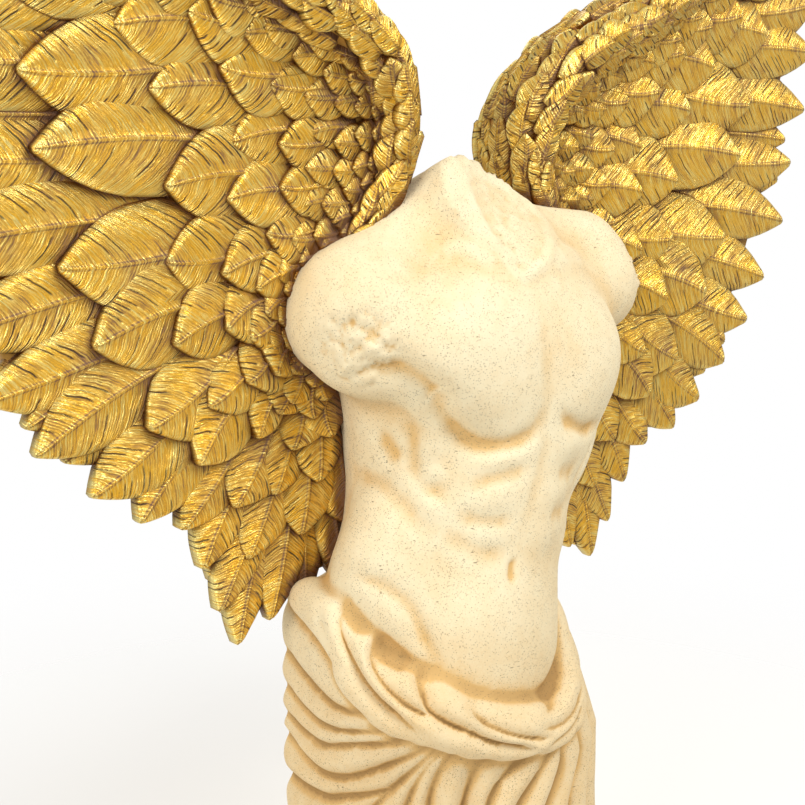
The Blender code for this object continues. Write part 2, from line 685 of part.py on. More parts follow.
def fitted_wing(name, blank, side, torso, skin, coll, mat):
    """A wing on one side of the middle, cut where it meets the torso."""
    bm = bmesh.new()
    bm.from_mesh(blank.data)
    if side < 0:
        bmesh.ops.scale(bm, vec=(-1, 1, 1), verts=bm.verts)
        bmesh.ops.reverse_faces(bm, faces=bm.faces)
    obj = add_object(name, bm, coll)
    for cutter in (skin, torso):
        fit = obj.modifiers.new("seat_on_torso", "BOOLEAN")
        fit.operation = "DIFFERENCE"
        fit.object = cutter
        fit.solver = "EXACT"
    as_plain_mesh(obj)
    only_largest(obj)
    obj.data.materials.clear()
    obj.data.materials.append(mat)
    return obj


def torso_skin(torso, cutters):
    """The torso grown by the joint gap, which cuts the seat of each wing."""
    skin = bpy.data.objects.new("torso_skin", torso.data.copy())
    cutters.objects.link(skin)
    grow = skin.modifiers.new("gap", "DISPLACE")
    grow.strength = JOINT_GAP
    grow.mid_level = 0.0
    hide_cutter(skin)
    return as_plain_mesh(skin)


def main():
    for obj in list(bpy.data.objects):
        bpy.data.objects.remove(obj)
    coll = collection("winged_wall_sculpture")
    cutters = collection("cutters")
    stone = material("cast_stone_resin", (0.86, 0.73, 0.52), 0.85, 0.0)
    gold = material("gold_paint", (0.68, 0.40, 0.06), 0.38, 0.9)
    torso = torso_with_drape(coll, cutters, stone)
    skin = torso_skin(torso, cutters)
    blank = wing_blank(cutters)
    hide_cutter(blank)
    fitted_wing("left_wing", blank, -1, torso, skin, coll, gold)
    fitted_wing("right_wing", blank, 1, torso, skin, coll, gold)


main()
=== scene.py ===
"""Winged wall sculpture: a broken torso in a cloth, cast in stone resin, with gilded feather wings.

Metres, +Z up, the front faces -Y and the wall is the plane y = 0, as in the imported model.
"""
import math

import bmesh
import bpy
import numpy as np
from bpy.props import FloatProperty, FloatVectorProperty, IntProperty, PointerProperty
from mathutils import Matrix, Vector, noise


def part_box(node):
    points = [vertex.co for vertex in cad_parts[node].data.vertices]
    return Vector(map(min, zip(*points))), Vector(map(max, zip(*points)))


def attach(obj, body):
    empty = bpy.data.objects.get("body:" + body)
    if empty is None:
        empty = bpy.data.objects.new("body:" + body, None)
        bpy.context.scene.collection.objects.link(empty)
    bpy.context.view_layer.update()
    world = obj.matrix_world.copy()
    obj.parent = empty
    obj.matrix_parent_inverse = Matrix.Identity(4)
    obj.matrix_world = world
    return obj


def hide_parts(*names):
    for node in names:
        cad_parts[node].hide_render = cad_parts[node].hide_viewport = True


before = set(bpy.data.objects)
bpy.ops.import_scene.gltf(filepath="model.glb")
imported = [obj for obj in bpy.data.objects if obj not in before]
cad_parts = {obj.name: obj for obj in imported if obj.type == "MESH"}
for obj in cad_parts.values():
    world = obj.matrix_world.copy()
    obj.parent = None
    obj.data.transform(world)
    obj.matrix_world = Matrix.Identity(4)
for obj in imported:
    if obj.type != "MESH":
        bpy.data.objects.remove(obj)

bl_info = {
    "name": "Winged Wall Sculpture",
    "version": (1, 0, 0),
    "blender": (4, 5, 0),
    "location": "3D Viewport > Sidebar > Sculpture",
    "description": "Carves the stone torso and its cloth, lays the gilded feathers and sets the studio",
    "category": "Add Mesh",
}

MILLIMETRE = 0.001
BODY = "root"

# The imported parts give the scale: the figure's parts run from its mount down to the hem
TORSO_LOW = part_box("torso_with_drape")[0]
WING_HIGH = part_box("right_wing")[1]
HEM = -578
FIGURE_UNIT = TORSO_LOW.z / HEM
WING_REACH = 526.0           # parts of the wing from the middle to its side
WING_UNIT = WING_HIGH.x / WING_REACH

# Camera, fitted to the photograph's viewing angle
CAMERA_AZIMUTH = -38.0
CAMERA_ELEVATION = 10.0
CAMERA_DISTANCE = 1.25
CAMERA_LENS = 58.84
CAMERA_TARGET = (-0.0128, -0.0011, -0.0496)

# The trunk's middle line: height, x and y, in parts of the figure
AXIS = (
    (-580, -6, -90), (-470, -14, -92), (-290, -46, -96), (-165, -36, -96),
    (-60, -4, -92), (60, 4, -88), (180, 0, -90),
)
DEGREE = 2.15                # parts of the figure that one degree round the trunk covers

# Masses of the body: middle, half-sizes, lean in degrees, softness of the join
MASSES = (
    ((4, -97, -20), (118, 98, 150), 0, 0),           # rib cage
    ((4, -84, 62), (148, 60, 46), 0, 40),            # shoulder girdle
    ((-40, -104, -160), (98, 78, 125), 0, 32),       # waist
    ((-60, -98, -290), (116, 98, 120), 0, 50),       # pelvis
    ((-131, -88, 44), (52, 58, 52), -14, 44),        # left shoulder
    ((138, -90, 62), (50, 52, 48), 8, 34),           # right shoulder
    ((-62, -146, 18), (76, 46, 58), -12, 26),        # left chest
    ((54, -144, 6), (58, 46, 56), 8, 24),            # right chest
    ((-88, -78, -46), (32, 40, 100), 4, 22),         # back muscle, left
    ((100, -70, -30), (30, 46, 90), -10, 24),        # back muscle, right
    ((-22, -140, -130), (58, 50, 110), 0, 26),       # upper belly
    ((-46, -140, -236), (80, 64, 92), 0, 26),        # lower belly
    ((-114, -108, -186), (44, 46, 52), 12, 26),      # left flank
    ((6, -104, -205), (44, 56, 50), -14, 24),        # right flank
)
# Rounded limbs: start, end, their radii, softness of the join
LIMBS = (
    ((-138, -98, 46), (-136, -110, 24), 42, 34, 30),     # what is left of the left arm
    ((-36, -74, 128), (-130, -84, 74), 32, 26, 34),      # slope from neck to left shoulder
    ((24, -74, 112), (132, -86, 102), 30, 27, 30),       # slope from neck to right shoulder
)
NECK = ((2, -84, 62), (-8, -112, 138), 62, 52, 24)
NECK_BREAK_POINT = (-4, -122, 130)
NECK_BREAK_FACING = (0.24, -0.79, 0.57)
BACK_LINE = -70              # behind this depth the figure runs back to the wall more steeply
BACK_STRETCH = 0.6

# The cloth's oval column: height, x of its middle, half-width, half-depth
COLUMN_MIDDLE = -90
COLUMN = (
    (-580, -13, 145, 122), (-470, -18, 144, 120), (-400, -25, 146, 122),
    (-340, -26, 147, 124), (-250, -44, 129, 112),
)
# The twisted roll round the hips: angle round the cloth, height, half-size, how far it is sunk in
ROLL = (
    (-118, -204, 21, 18), (-100, -206, 22, 17), (-84, -212, 24, 13), (-68, -238, 28, 7), (-52, -261, 31, 3),
    (-38, -271, 31, 2), (-22, -286, 28, 2), (-6, -297, 26, 3), (10, -301, 24, 5), (24, -296, 24, 10),
    (36, -283, 25, 18), (48, -266, 27, 24), (62, -250, 28, 27), (84, -238, 27, 24), (108, -230, 25, 19),
)

# Creases (minus) and ridges: depth, half-width, places as (angle round the trunk, height)
CLOTH_LINES = (
    (-16, 7, ((-83, -184), (-76, -209), (-66, -243), (-54, -268), (-45, -284))),
    (-8, 6, ((-69, -206), (-63, -225), (-56, -244), (-47, -260), (-35, -272))),
    (-9, 6, ((-51, -230), (-45, -245), (-42, -260), (-33, -276), (-22, -287))),
    (-8, 6, ((-34, -270), (-26, -285), (-16, -300), (0, -314))),
    (-6, 6, ((-30, -258), (-23, -272), (-15, -284), (-3, -298), (10, -306))),
    (-4.5, 6, ((42, -256), (22, -275), (6, -285))),
    (-4.5, 6, ((44, -282), (26, -294), (11, -296), (-2, -291))),
    (-4.5, 6, ((40, -292), (23, -305), (12, -311), (1, -315))),
    (-8, 8, ((-138, -217), (-118, -222), (-98, -230), (-78, -238))),
    (-9, 8, ((-138, -263), (-120, -268), (-96, -274), (-82, -280), (-65, -275))),
    (-9, 8, ((-140, -297), (-122, -300), (-99, -303), (-82, -301), (-70, -295), (-57, -289))),
    (-9, 8, ((-140, -324), (-124, -326), (-96, -324), (-78, -312), (-61, -303), (-47, -291))),
    (-10, 8, ((-142, -346), (-124, -346), (-101, -352), (-83, -346), (-69, -333), (-54, -316), (-40, -298))),
    (-10, 8, ((-142, -390), (-124, -386), (-95, -373), (-82, -362), (-60, -345), (-46, -318))),
    (-9, 8, ((-112, -470), (-88, -430), (-76, -384), (-65, -354), (-52, -328), (-38, -298))),
    (-8, 8, ((-84, -540), (-68, -450), (-60, -385), (-50, -335), (-36, -299))),
    (-9, 8, ((-60, -565), (-54, -480), (-50, -400), (-44, -340), (-32, -301))),
    (-17, 8, ((-40, -560), (-37, -470), (-35, -390), (-28, -337), (-20, -313))),
    (-7, 7, ((-20, -570), (-26, -470), (-24, -380), (-13, -338), (10, -312))),
    (-8, 7, ((2, -565), (-10, -460), (-12, -390), (2, -350), (17, -318))),
    (-8, 7, ((24, -560), (6, -460), (4, -400), (18, -352), (27, -297))),
    (-8, 8, ((46, -565), (26, -470), (24, -400), (36, -345), (34, -299))),
    (-8, 8, ((66, -560), (46, -470), (44, -390), (54, -330), (50, -270))),
    (-8, 8, ((84, -560), (68, -460), (66, -380), (74, -290))),
    (-8, 9, ((100, -560), (88, -430), (96, -300))),
)
BODY_LINES = (
    (-7, 9, ((-60, -18), (-52, -34), (-45, -48), (-36, -56), (-24, -56), (-13, -49), (-6, -32))),
    (-6, 8, ((4, -30), (11, -43), (26, -54), (42, -54))),
    (-5, 9, ((-83, -52), (-74, -70))),
    (-4, 9, ((-68, -36), (-66, -74), (-55, -93), (-47, -107))),
    (-3, 9, ((-38, -88), (-23, -81), (-9, -77))),
    (-3, 9, ((-48, -127), (-26, -143), (-12, -150))),
    (-4, 5, ((-7, -154), (-6, -170))),
    (-5, 11, ((-104, -90), (-81, -92), (-69, -103), (-60, -115), (-51, -127))),
    (-4, 8, ((-86, -163), (-72, -165), (-63, -173), (-55, -187), (-48, -210), (-40, -236))),
    (-1.5, 10, ((-8, 60), (-6, 0), (-3, -65), (-3, -98), (-6, -136))),
    (-13, 14, ((-68, 14), (-62, 4), (-52, -20))),
    (-4, 10, ((56, -40), (50, -70), (40, -104))),
    (-5, 5, ((-67, -209), (-59, -223), (-51, -233))),
    (-4, 7, ((-92, -190), (-81, -221), (-70, -250))),
    (-2.5, 8, ((-42, -112), (-28, -119), (-12, -121))),
    (-2, 12, ((-52, 80), (-57, 45), (-63, 15))),
    (2.5, 9, ((-30, 92), (-50, 104), (-66, 98))),
    (2.5, 9, ((6, 92), (40, 96), (66, 92))),
    (-2.5, 9, ((12, -88), (30, -92))),
    (-2.5, 9, ((12, -122), (32, -126))),
    (-4, 10, ((96, -100), (66, -112), (44, -134))),
    (2.5, 5, ((-91, 181), (-60, 165), (-42, 134), (-33, 115), (-25, 100),
              (-16, 81), (0, 87), (29, 107), (65, 122))),
)
# Swellings: height, half-size round the trunk, upright half-size, angle, height of the place
SWELLINGS = (
    (4, 16, 12, -59, -57), (4, 15, 11, -58, -82), (4, 15, 12, -54, -106),
    (3.5, 26, 15, -27, -64), (3.5, 26, 15, -27, -100), (3.5, 24, 15, 15, -64),
    (3.5, 24, 15, 15, -102), (6, 44, 34, -82, -128), (5, 30, 34, 50, -150),
    (3, 26, 15, -27, -134), (3, 24, 15, 14, -136), (3, 24, 20, -58, -200), (3.5, 40, 26, -24, -196),
    (4, 44, 30, -34, -26), (3, 34, 28, 22, -22),
)
# Broken places, where the casting is rough: middle, radius, depth of the roughness
BREAKS = (
    ((-160, -134, 28), 38, 7.0),
    ((176, -108, 66), 34, 9.0),
)
BREAK_GRAIN = 10.0           # size of the crumbs in a broken place
BREAK_EDGE = 0.88            # where the roughness dies out, as a share of the radius
BREAK_EDGE_SHARPNESS = 11.0
BREAK_CRUMBS = 0.5           # how much crumbs, sinking and cracks count there
BREAK_SINK = 0.5
BREAK_CRACKS = 0.45
NECK_ROUGHNESS = 0.8
NECK_GRAIN = 12.0            # size of the lumps on the neck's broken face
NECK_REACH = 62.0            # how far from its middle that face is rough
NECK_DISH = 2.5              # how deep it is dished, and how wide
NECK_DISH_WIDTH = 34.0
FOLD_DEPTH = 1.5             # the cloth's creases are cut this much deeper than in the solid
FOLD_LIMIT = -15             # but no deeper than this, in parts of the figure
FOLD_EDGE = 1.25             # and this sharp
LINE_REACH = 3.4             # how far a line's relief reaches, in half-widths
LINE_FADE = 0.25             # the share of its length over which each end fades out
LINE_END = 0.08              # what is left of it at the very end
SETTLE_STEP = 0.9            # the share of its distance that a rough place moves in one round
ROUGH_STEP = 1.5             # the first skin's coarseness, in carving steps
NECK_CORE = 0.55             # how far up the neck its rough core reaches
ROLL_CORE = 3                # how much slimmer the roll's rough core is
EVENING = 0.7                # how much of its neighbours' mean a place takes on in one round
WALL_SLACK = 0.01 * MILLIMETRE    # faces nearer to the wall than this are the flat back

# A wing's leading edge and its line of feather tips, as (out from the middle, height)
RIM_LINE = (
    (144, 18), (162, 50), (152, 78), (118, 108), (94, 142), (79, 184), (85, 228), (120, 270),
    (204, 312), (300, 364), (400, 430), (474, 486),
)
TIP_LINE = (
    (70, -198), (116, -208), (168, -216), (216, -237), (236, -192), (257, -150), (286, -112), (335, -95),
    (424, -10), (470, 70), (500, 150), (516, 240), (525, 340), (518, 430), (492, 510),
)
LOWEST_TIP = 3               # which place of the tip line is the lowest corner
RIM_SHARE = 0.05             # the part of the leading edge that the lower feathers all spring from
RIM_TURN = 3.1               # how soon the feathers start to follow the leading edge upwards
RIM_WIDTH = 0.042            # the ridge along the leading edge, seen from the front
# The ridge, from the thin collar round the shoulder: share along it, front and back, share of the width
RIM_SECTION = (
    (0.0, 0.072, 0.040, 0.30), (0.052, 0.073, 0.034, 0.36), (0.121, 0.076, 0.022, 0.45),
    (0.182, 0.080, 0.012, 0.75), (0.247, 0.086, 0.009, 1.0), (0.312, 0.094, 0.013, 1.0),
    (0.392, 0.113, 0.034, 1.0), (0.529, 0.121, 0.038, 1.0), (0.69, 0.122, 0.040, 1.0),
    (1.0, 0.122, 0.038, 1.0),
)
COLLAR = 0.15                # the share of the leading edge that is collar
RIM_TAPER_START = 0.45       # from this share on the ridge gets slimmer towards the wing's tip
RIM_TAPER = 0.6              # by this much
BED_SINK = 0.018             # how far the bed lies behind the ridge's front
# How far the bed stands out from the wall at the feather tips, from the lowest ones upwards
BED_FAR = ((0.0, 0.014), (0.15, 0.011), (0.24, 0.021), (0.31, 0.038), (0.43, 0.044), (1.0, 0.044))
BED_FALL = 0.16              # the distance over which it falls back
BED_REACH = 0.90             # how far towards the feather tips the bed reaches
BED_THICKNESS = 0.018
BED_MARGIN = 0.01            # how far it ends short of the first and last feather
# Rows of feathers: where the tips end between leading edge and tip line, width, lift, kind of feather
COVERT, LONG_COVERT, FLIGHT = 0, 2, 4
FEATHER_ROWS = (
    (0.035, 20, 7.0, COVERT), (0.068, 21, 7.5, COVERT), (0.105, 23, 8.0, COVERT), (0.15, 26, 8.5, COVERT),
    (0.205, 31, 9.0, COVERT), (0.275, 39, 10.0, LONG_COVERT), (0.37, 50, 11.0, LONG_COVERT),
    (0.52, 62, 13.0, FLIGHT), (0.74, 68, 13.0, FLIGHT), (1.0, 56, 6.0, FLIGHT),
    (0.965, 46, -3.0, FLIGHT),
)
ROW_REACH = 2                # how many rows further in a feather starts
SLIM_FEATHER = 0.8           # the most that a flight feather's width may be of its length
# How much narrower the outer feathers are towards the lowest ones: place along the row, share of the width
ROW_WIDTHS = ((0.0, 0.62), (0.2, 0.72), (0.42, 1.0), (1.0, 1.0))
RIM_COLUMNS = (-150, -115, -80, -45, -10, 25, 60)
COLLAR_COLUMNS = (-70, 0, 70)
RIM_FEATHER = (28, 38)       # width and length of the feathers on the ridge

# Outlines of the feathers: share of the length, share of the width
COVERT_OUTLINE = (
    (0.0, 0.66), (0.3, 0.96), (0.48, 1.0), (0.64, 0.90), (0.79, 0.65), (0.91, 0.34), (1.0, 0.06),
)
FLIGHT_OUTLINE = (
    (0.0, 0.55), (0.25, 0.88), (0.46, 1.0), (0.62, 0.96),
    (0.75, 0.80), (0.86, 0.55), (0.94, 0.29), (1.0, 0.06),
)
SMALL_ACROSS = (-1.0, -0.84, -0.12, 0.0, 0.12, 0.84, 1.0)
LARGE_ACROSS = (-1.0, -0.94, -0.75, -0.4, -0.11, -0.045, 0.0, 0.045, 0.11, 0.4, 0.75, 0.94, 1.0)
BENDS = (-0.3, 0.3)          # how far a feather's middle bows to either side, of its width

# A feather's relief: places as shares of its half-width or length, heights in metres
EDGE_START = 0.78            # where the upper face starts to round down to the edge
TIP_START = 0.955            # and to the tip
CROWN_HEIGHT = 0.0018
QUILL_HEIGHT = 0.0022
QUILL_WIDTH = 0.045
GROOVE_DEPTH = 0.0007        # of the grooves on both sides of the quill
GROOVE_PLACE = 0.11
GROOVE_WIDTH = 0.05
UNDERSIDE = 0.97             # width of the underside, of the upper face's
FEATHER_SINK = 2.5 * MILLIMETRE    # how deep a feather's base sits in what carries it
RIM_LIFT = 2.0 * MILLIMETRE  # how far the tips of the ridge's feathers stand off it
RIM_STEP = 0.62              # from one feather of the ridge to the next, of a feather's length
RIM_STRAY = 24               # degrees that these feathers may stray round the ridge
RIM_FAN = 1.08               # how much they fan out round it
RIM_GROWTH = (0.9, 1.1)      # least and most of their usual size
RIM_SHORTEST = 0.3           # those left with less of their length are left out
COLLAR_GROWTH = 0.6          # size of the feathers on the collar
COVERT_THICKNESS = 0.8       # of the small feathers, against the long ones
ROW_START = 0.85             # where a feather starts, of the reach of the row that it starts from
LAST_ROW_START = 0.55        # and where those of the row behind the tips do
ROW_STRAY = (-0.004, 0.004)  # how far a feather may lie out of its place in the row
TIP_STRAY = (-0.045, 0.025)  # how much shorter or longer it may reach
WIDTH_STRAY = (0.94, 1.06)   # and how much narrower or wider it may be
RUFFLE_AXES = (0.2, 1.0, 0.6)    # how much of the ruffle goes about its width, length and face
FACE_CROWDING = 1.25         # how much closer the rows of a feather's faces lie near its tip
FACE_BOW = 0.14              # and how much they bow
RUBBED_AND_HIGHLIT_TIP = 0.88            # from this share of its length on, the tip is rubbed clear of the wash and given painted highlight

# The gold's finish
SLIT_PITCH = 6.5             # millimetres from one place for a slit to the next
WASH_LEVEL = -0.45           # evens out the sum that says where the brown wash lies

# Lights: name, azimuth and elevation in degrees, distance, size, and whose power it has
LIGHTS = (
    ("key", 16, 44, 2.4, 1.1, "key"), ("fill", -72, 18, 2.6, 1.6, "fill"),
    ("back_left", -140, 35, 2.6, 1.4, "back"), ("back_right", 145, 30, 2.6, 1.4, "back"),
)
ROOM_COLOUR = "FFF9F0"
FLOOR_RADIUS = 2.6
FLOOR_GAP = 0.04             # how far the floor lies below the hem


def linear(code):
    """An sRGB hex colour as linear red, green and blue."""
    values = (int(code[k:k + 2], 16) / 255 for k in (0, 2, 4))
    return tuple(v / 12.92 if v <= 0.04045 else ((v + 0.055) / 1.055) ** 2.4 for v in values)


class StoneFinish(bpy.types.PropertyGroup):
    """Colours of the stone and fineness of its carving"""

    light: FloatVectorProperty(
        name="Light stone", description="Colour of the faces that catch the light",
        subtype="COLOR", size=3, min=0, max=1, default=linear("EEE2C0"))
    # Mixed in for the stone's own uneven tone, and as painted shade in the hollows and on the lower cloth
    warm_tone_and_shade: FloatVectorProperty(
        name="Warm stone", description="Colour in the hollows and folds",
        subtype="COLOR", size=3, min=0, max=1, default=linear("DDB87A"))
    # Painted shade at the bottom of the cloth's deep folds
    crease: FloatVectorProperty(
        name="Creases", description="Colour at the bottom of the deep folds",
        subtype="COLOR", size=3, min=0, max=1, default=linear("A07C4A"))
    speck: FloatVectorProperty(
        name="Specks", description="Colour of the dark grains and short cracks",
        subtype="COLOR", size=3, min=0, max=1, default=linear("75654A"))
    step: FloatProperty(
        name="Carving step", description="Fineness of the carved skin",
        unit="LENGTH", default=0.00565, min=0.003, max=0.02)


class GoldFinish(bpy.types.PropertyGroup):
    """Colours and barbs of the gilded feathers"""

    # Painted highlight on raised barbs and rounded edges, which are also rubbed clear of the wash
    bright: FloatVectorProperty(
        name="Rubbed gold", description="Colour of raised barbs and rubbed edges",
        subtype="COLOR", size=3, min=0, max=1, default=linear("FFEB92"))
    gold: FloatVectorProperty(
        name="Gold", description="Colour of the gold paint",
        subtype="COLOR", size=3, min=0, max=1, default=linear("FFC63A"))
    # Painted shade in the recesses that the ambient occlusion finds, and a little tone that differs from
    # feather to feather
    deep: FloatVectorProperty(
        name="Deep gold", description="Colour of the gold paint low down",
        subtype="COLOR", size=3, min=0, max=1, default=linear("7C4A08"))
    wash: FloatVectorProperty(
        name="Antique wash", description="Colour of the brown wash left in the recesses",
        subtype="COLOR", size=3, min=0, max=1, default=linear("7A5840"))
    # Painted shade at the bottom of the slits, over the brown wash that lies in them
    slit: FloatVectorProperty(
        name="Slits", description="Colour at the bottom of the short slits between barbs",
        subtype="COLOR", size=3, min=0, max=1, default=linear("3E2408"))
    barb: FloatProperty(
        name="Barb pitch", description="Distance from one barb of a feather to the next",
        unit="LENGTH", default=0.0027, min=0.0005, max=0.01)


class FeatherSizes(bpy.types.PropertyGroup):
    """Sizes and order of the feathers"""

    thickness: FloatProperty(
        name="Thickness", description="Thickness of a feather's rounded edge",
        unit="LENGTH", default=0.0062, min=0.001, max=0.02)
    overlap: FloatProperty(
        name="Overlap", description="Width of a feather over its share of the row",
        subtype="FACTOR", default=1.3, min=1.0, max=2.0)
    ruffle: FloatProperty(
        name="Ruffle", description="How far a feather may turn out of line",
        subtype="ANGLE", default=math.radians(6), min=0.0, max=0.5)
    seed: IntProperty(name="Seed", description="Picks the order of the feathers", default=11, min=0)


class StudioLight(bpy.types.PropertyGroup):
    """Colour of the floor and strength of the light"""

    floor: FloatVectorProperty(
        name="Floor", description="Colour of the studio floor",
        subtype="COLOR", size=3, min=0, max=1, default=linear("FFFEFA"))
    key: FloatProperty(
        name="Key", description="Power of the key light", unit="POWER", default=41.0, min=0.0)
    fill: FloatProperty(
        name="Fill", description="Power of the fill light", unit="POWER", default=36.0, min=0.0)
    back: FloatProperty(
        name="Back", description="Power of each light behind", unit="POWER", default=9.0, min=0.0)
    room: FloatProperty(
        name="Room", description="Strength of the even light all round", default=0.52, min=0.0)


def blend(a, b, softness):
    """The union of two distances, rounded where they meet."""
    if softness <= 0:
        return np.minimum(a, b)
    h = np.clip(0.5 + 0.5 * (b - a) / softness, 0.0, 1.0)
    return b + (a - b) * h - softness * h * (1.0 - h)


def trim(a, b, softness):
    """What two distances have in common, rounded where they meet."""
    return -blend(-a, -b, softness)


def ellipsoid(p, middle, half, lean):
    """Distance to an oval mass that leans to one side."""
    q = p - np.array(middle, float)
    c = math.cos(math.radians(lean))
    s = math.sin(math.radians(lean))
    q = np.stack([q[:, 0] * c + q[:, 2] * s, q[:, 1], q[:, 2] * c - q[:, 0] * s], 1)
    r = np.array(half, float)
    k0 = np.linalg.norm(q / r, axis=1)
    k1 = np.linalg.norm(q / (r * r), axis=1)
    return k0 * (k0 - 1.0) / np.maximum(k1, 1e-9)


def limb(p, start, end, r0, r1):
    """Distance to a rounded limb with a radius at each end."""
    a = np.array(start, float)
    run = np.array(end, float) - a
    t = np.clip((p - a) @ run / (run @ run), 0.0, 1.0)
    return np.linalg.norm(p - a - t[:, None] * run, axis=1) - (r0 + (r1 - r0) * t)


def plane(p, point, facing):
    """Distance in front of a flat cut."""
    n = np.array(facing, float)
    return (p - np.array(point, float)) @ (n / np.linalg.norm(n))


def trunk_angle(p):
    """Angle round the trunk in degrees: 0 faces the front, minus is the viewer's left."""
    z = [row[0] for row in AXIS]
    x = np.interp(p[:, 2], z, [row[1] for row in AXIS])
    y = np.interp(p[:, 2], z, [row[2] for row in AXIS])
    return np.degrees(np.arctan2(p[:, 0] - x, y - p[:, 1]))


def neck_break(p):
    """Distance to the broken face of the neck, which is a little dished."""
    d = plane(p, NECK_BREAK_POINT, NECK_BREAK_FACING)
    away = np.linalg.norm(p - np.array(NECK_BREAK_POINT, float), axis=1)
    return d + NECK_DISH * np.exp(-(away / NECK_DISH_WIDTH) ** 2)


def body_distance(p):
    """Distance to the trunk, the neck and what is left of the arms."""
    d = None
    for middle, half, lean, softness in MASSES:
        part = ellipsoid(p, middle, half, lean)
        d = part if d is None else blend(d, part, softness)
    start, end, r0, r1, softness = NECK
    neck = trim(limb(p, start, end, r0, r1), neck_break(p), 2.5)
    d = blend(d, neck, softness)
    for start, end, r0, r1, softness in LIMBS:
        d = blend(d, limb(p, start, end, r0, r1), softness)
    return d


def column_at(z):
    """Middle and half-sizes of the cloth's oval column at a height."""
    heights = [row[0] for row in COLUMN]
    return [np.interp(z, heights, [row[k] for row in COLUMN]) for k in (1, 2, 3)]


def column_distance(p):
    """Distance to the cloth's oval column, from the roll down to the hem."""
    middle, wide, deep = column_at(p[:, 2])
    across = (p[:, 0] - middle) / wide
    forward = (COLUMN_MIDDLE - p[:, 1]) / deep
    angle = np.degrees(np.arctan2(across, forward))
    top = np.interp(angle, ROLL_PATH[:, 0], ROLL_PATH[:, 1])
    d = trim((np.hypot(across, forward) - 1.0) * deep, p[:, 2] - top, 10)
    return trim(d, HEM - p[:, 2], 6)


def curve_through(points, steps):
    """Places along the smooth curve through the given points."""
    pts = np.array(points, float)
    ext = np.vstack([2 * pts[0] - pts[1], pts, 2 * pts[-1] - pts[-2]])
    places = []
    for i in range(len(pts) - 1):
        p0, p1, p2, p3 = ext[i:i + 4]
        for k in range(steps):
            f = k / steps
            places.append(0.5 * (2 * p1 + (p2 - p0) * f + (2 * p0 - 5 * p1 + 4 * p2 - p3) * f * f
                                 + (3 * p1 - p0 - 3 * p2 + p3) * f ** 3))
    places.append(pts[-1])
    return np.array(places)


ROLL_PATH = curve_through(ROLL, 6)


def roll_distance(p):
    """Distance to the roll: a tube whose height and size change smoothly round the hips."""
    middle, wide, deep = column_at(p[:, 2])
    across = (p[:, 0] - middle) / wide
    forward = (COLUMN_MIDDLE - p[:, 1]) / deep
    angle = np.degrees(np.arctan2(across, forward))
    height = np.interp(angle, ROLL_PATH[:, 0], ROLL_PATH[:, 1])
    half = np.interp(angle, ROLL_PATH[:, 0], ROLL_PATH[:, 2])
    sink = np.interp(angle, ROLL_PATH[:, 0], ROLL_PATH[:, 3])
    run = np.gradient(ROLL_PATH[:, 1], ROLL_PATH[:, 0])
    slope = np.interp(angle, ROLL_PATH[:, 0], run) / DEGREE
    radius = np.hypot(wide * np.sin(np.radians(angle)), deep * np.cos(np.radians(angle)))
    outwards = (np.hypot(across, forward) - 1.0) * radius + sink
    upwards = (p[:, 2] - height) / np.sqrt(1.0 + slope * slope)
    past = np.maximum(np.abs(angle) - ROLL_PATH[-1, 0], 0.0) * DEGREE
    return np.sqrt(outwards ** 2 + upwards ** 2 + past ** 2) - half


def figure_distance(p):
    """Signed distance to the smooth figure, all in parts of its height."""
    q = p.copy()
    behind = q[:, 1] > BACK_LINE
    q[behind, 1] = BACK_LINE + (q[behind, 1] - BACK_LINE) * BACK_STRETCH
    d = blend(body_distance(q), column_distance(q), 10)
    return blend(d, roll_distance(q), 6)


def line_relief(s, z, depth, width, points, sharpness):
    """A crease or ridge along the points, which fades out at both ends."""
    path = curve_through(points, 4) * (DEGREE, 1.0)
    steps = np.linalg.norm(np.diff(path, axis=0), axis=1)
    run = np.concatenate([[0.0], np.cumsum(steps)])
    reach = LINE_REACH * width
    low = path.min(0) - reach
    high = path.max(0) + reach
    near = np.flatnonzero((s > low[0]) & (s < high[0]) & (z > low[1]) & (z < high[1]))
    place = np.stack([s[near], z[near]], 1)
    share = np.zeros(len(near))
    for i, (a, b) in enumerate(zip(path, path[1:])):
        t = np.clip((place - a) @ (b - a) / max((b - a) @ (b - a), 1e-9), 0.0, 1.0)
        d = np.linalg.norm(place - a - t[:, None] * (b - a), axis=1)
        along = run[i] + t * steps[i]
        fade = np.minimum(along, run[-1] - along) / (LINE_FADE * run[-1]) + LINE_END
        fade = np.clip(fade, 0.0, 1.0)
        share = np.maximum(share, fade * np.exp(-(d / width) ** sharpness))
    relief = np.zeros(len(s))
    relief[near] = depth * share
    return relief


def broken_relief(p):
    """The rough, crumbled stone where an arm or the neck is broken off."""
    relief = np.zeros(len(p))
    for middle, radius, depth in BREAKS:
        away = np.linalg.norm(p - np.array(middle, float), axis=1) / radius
        for i in np.flatnonzero(away < 1.25):
            place = Vector(p[i]) / BREAK_GRAIN
            crumble = noise.fractal(place, 0.75, 2.1, 5)
            cells = noise.voronoi(place * 0.55)[0]
            edge = 1.0 / (1.0 + math.exp((away[i] - BREAK_EDGE) * BREAK_EDGE_SHARPNESS))
            rough = BREAK_CRUMBS * crumble - BREAK_SINK + BREAK_CRACKS * (cells[1] - cells[0])
            relief[i] += depth * edge * rough
    face = plane(p, NECK_BREAK_POINT, NECK_BREAK_FACING)
    away = np.linalg.norm(p - np.array(NECK_BREAK_POINT, float), axis=1)
    for i in np.flatnonzero((np.abs(face) < 10.0) & (away < NECK_REACH)):
        relief[i] += NECK_ROUGHNESS * noise.fractal(Vector(p[i]) / NECK_GRAIN, 0.9, 2.0, 3)
    return relief


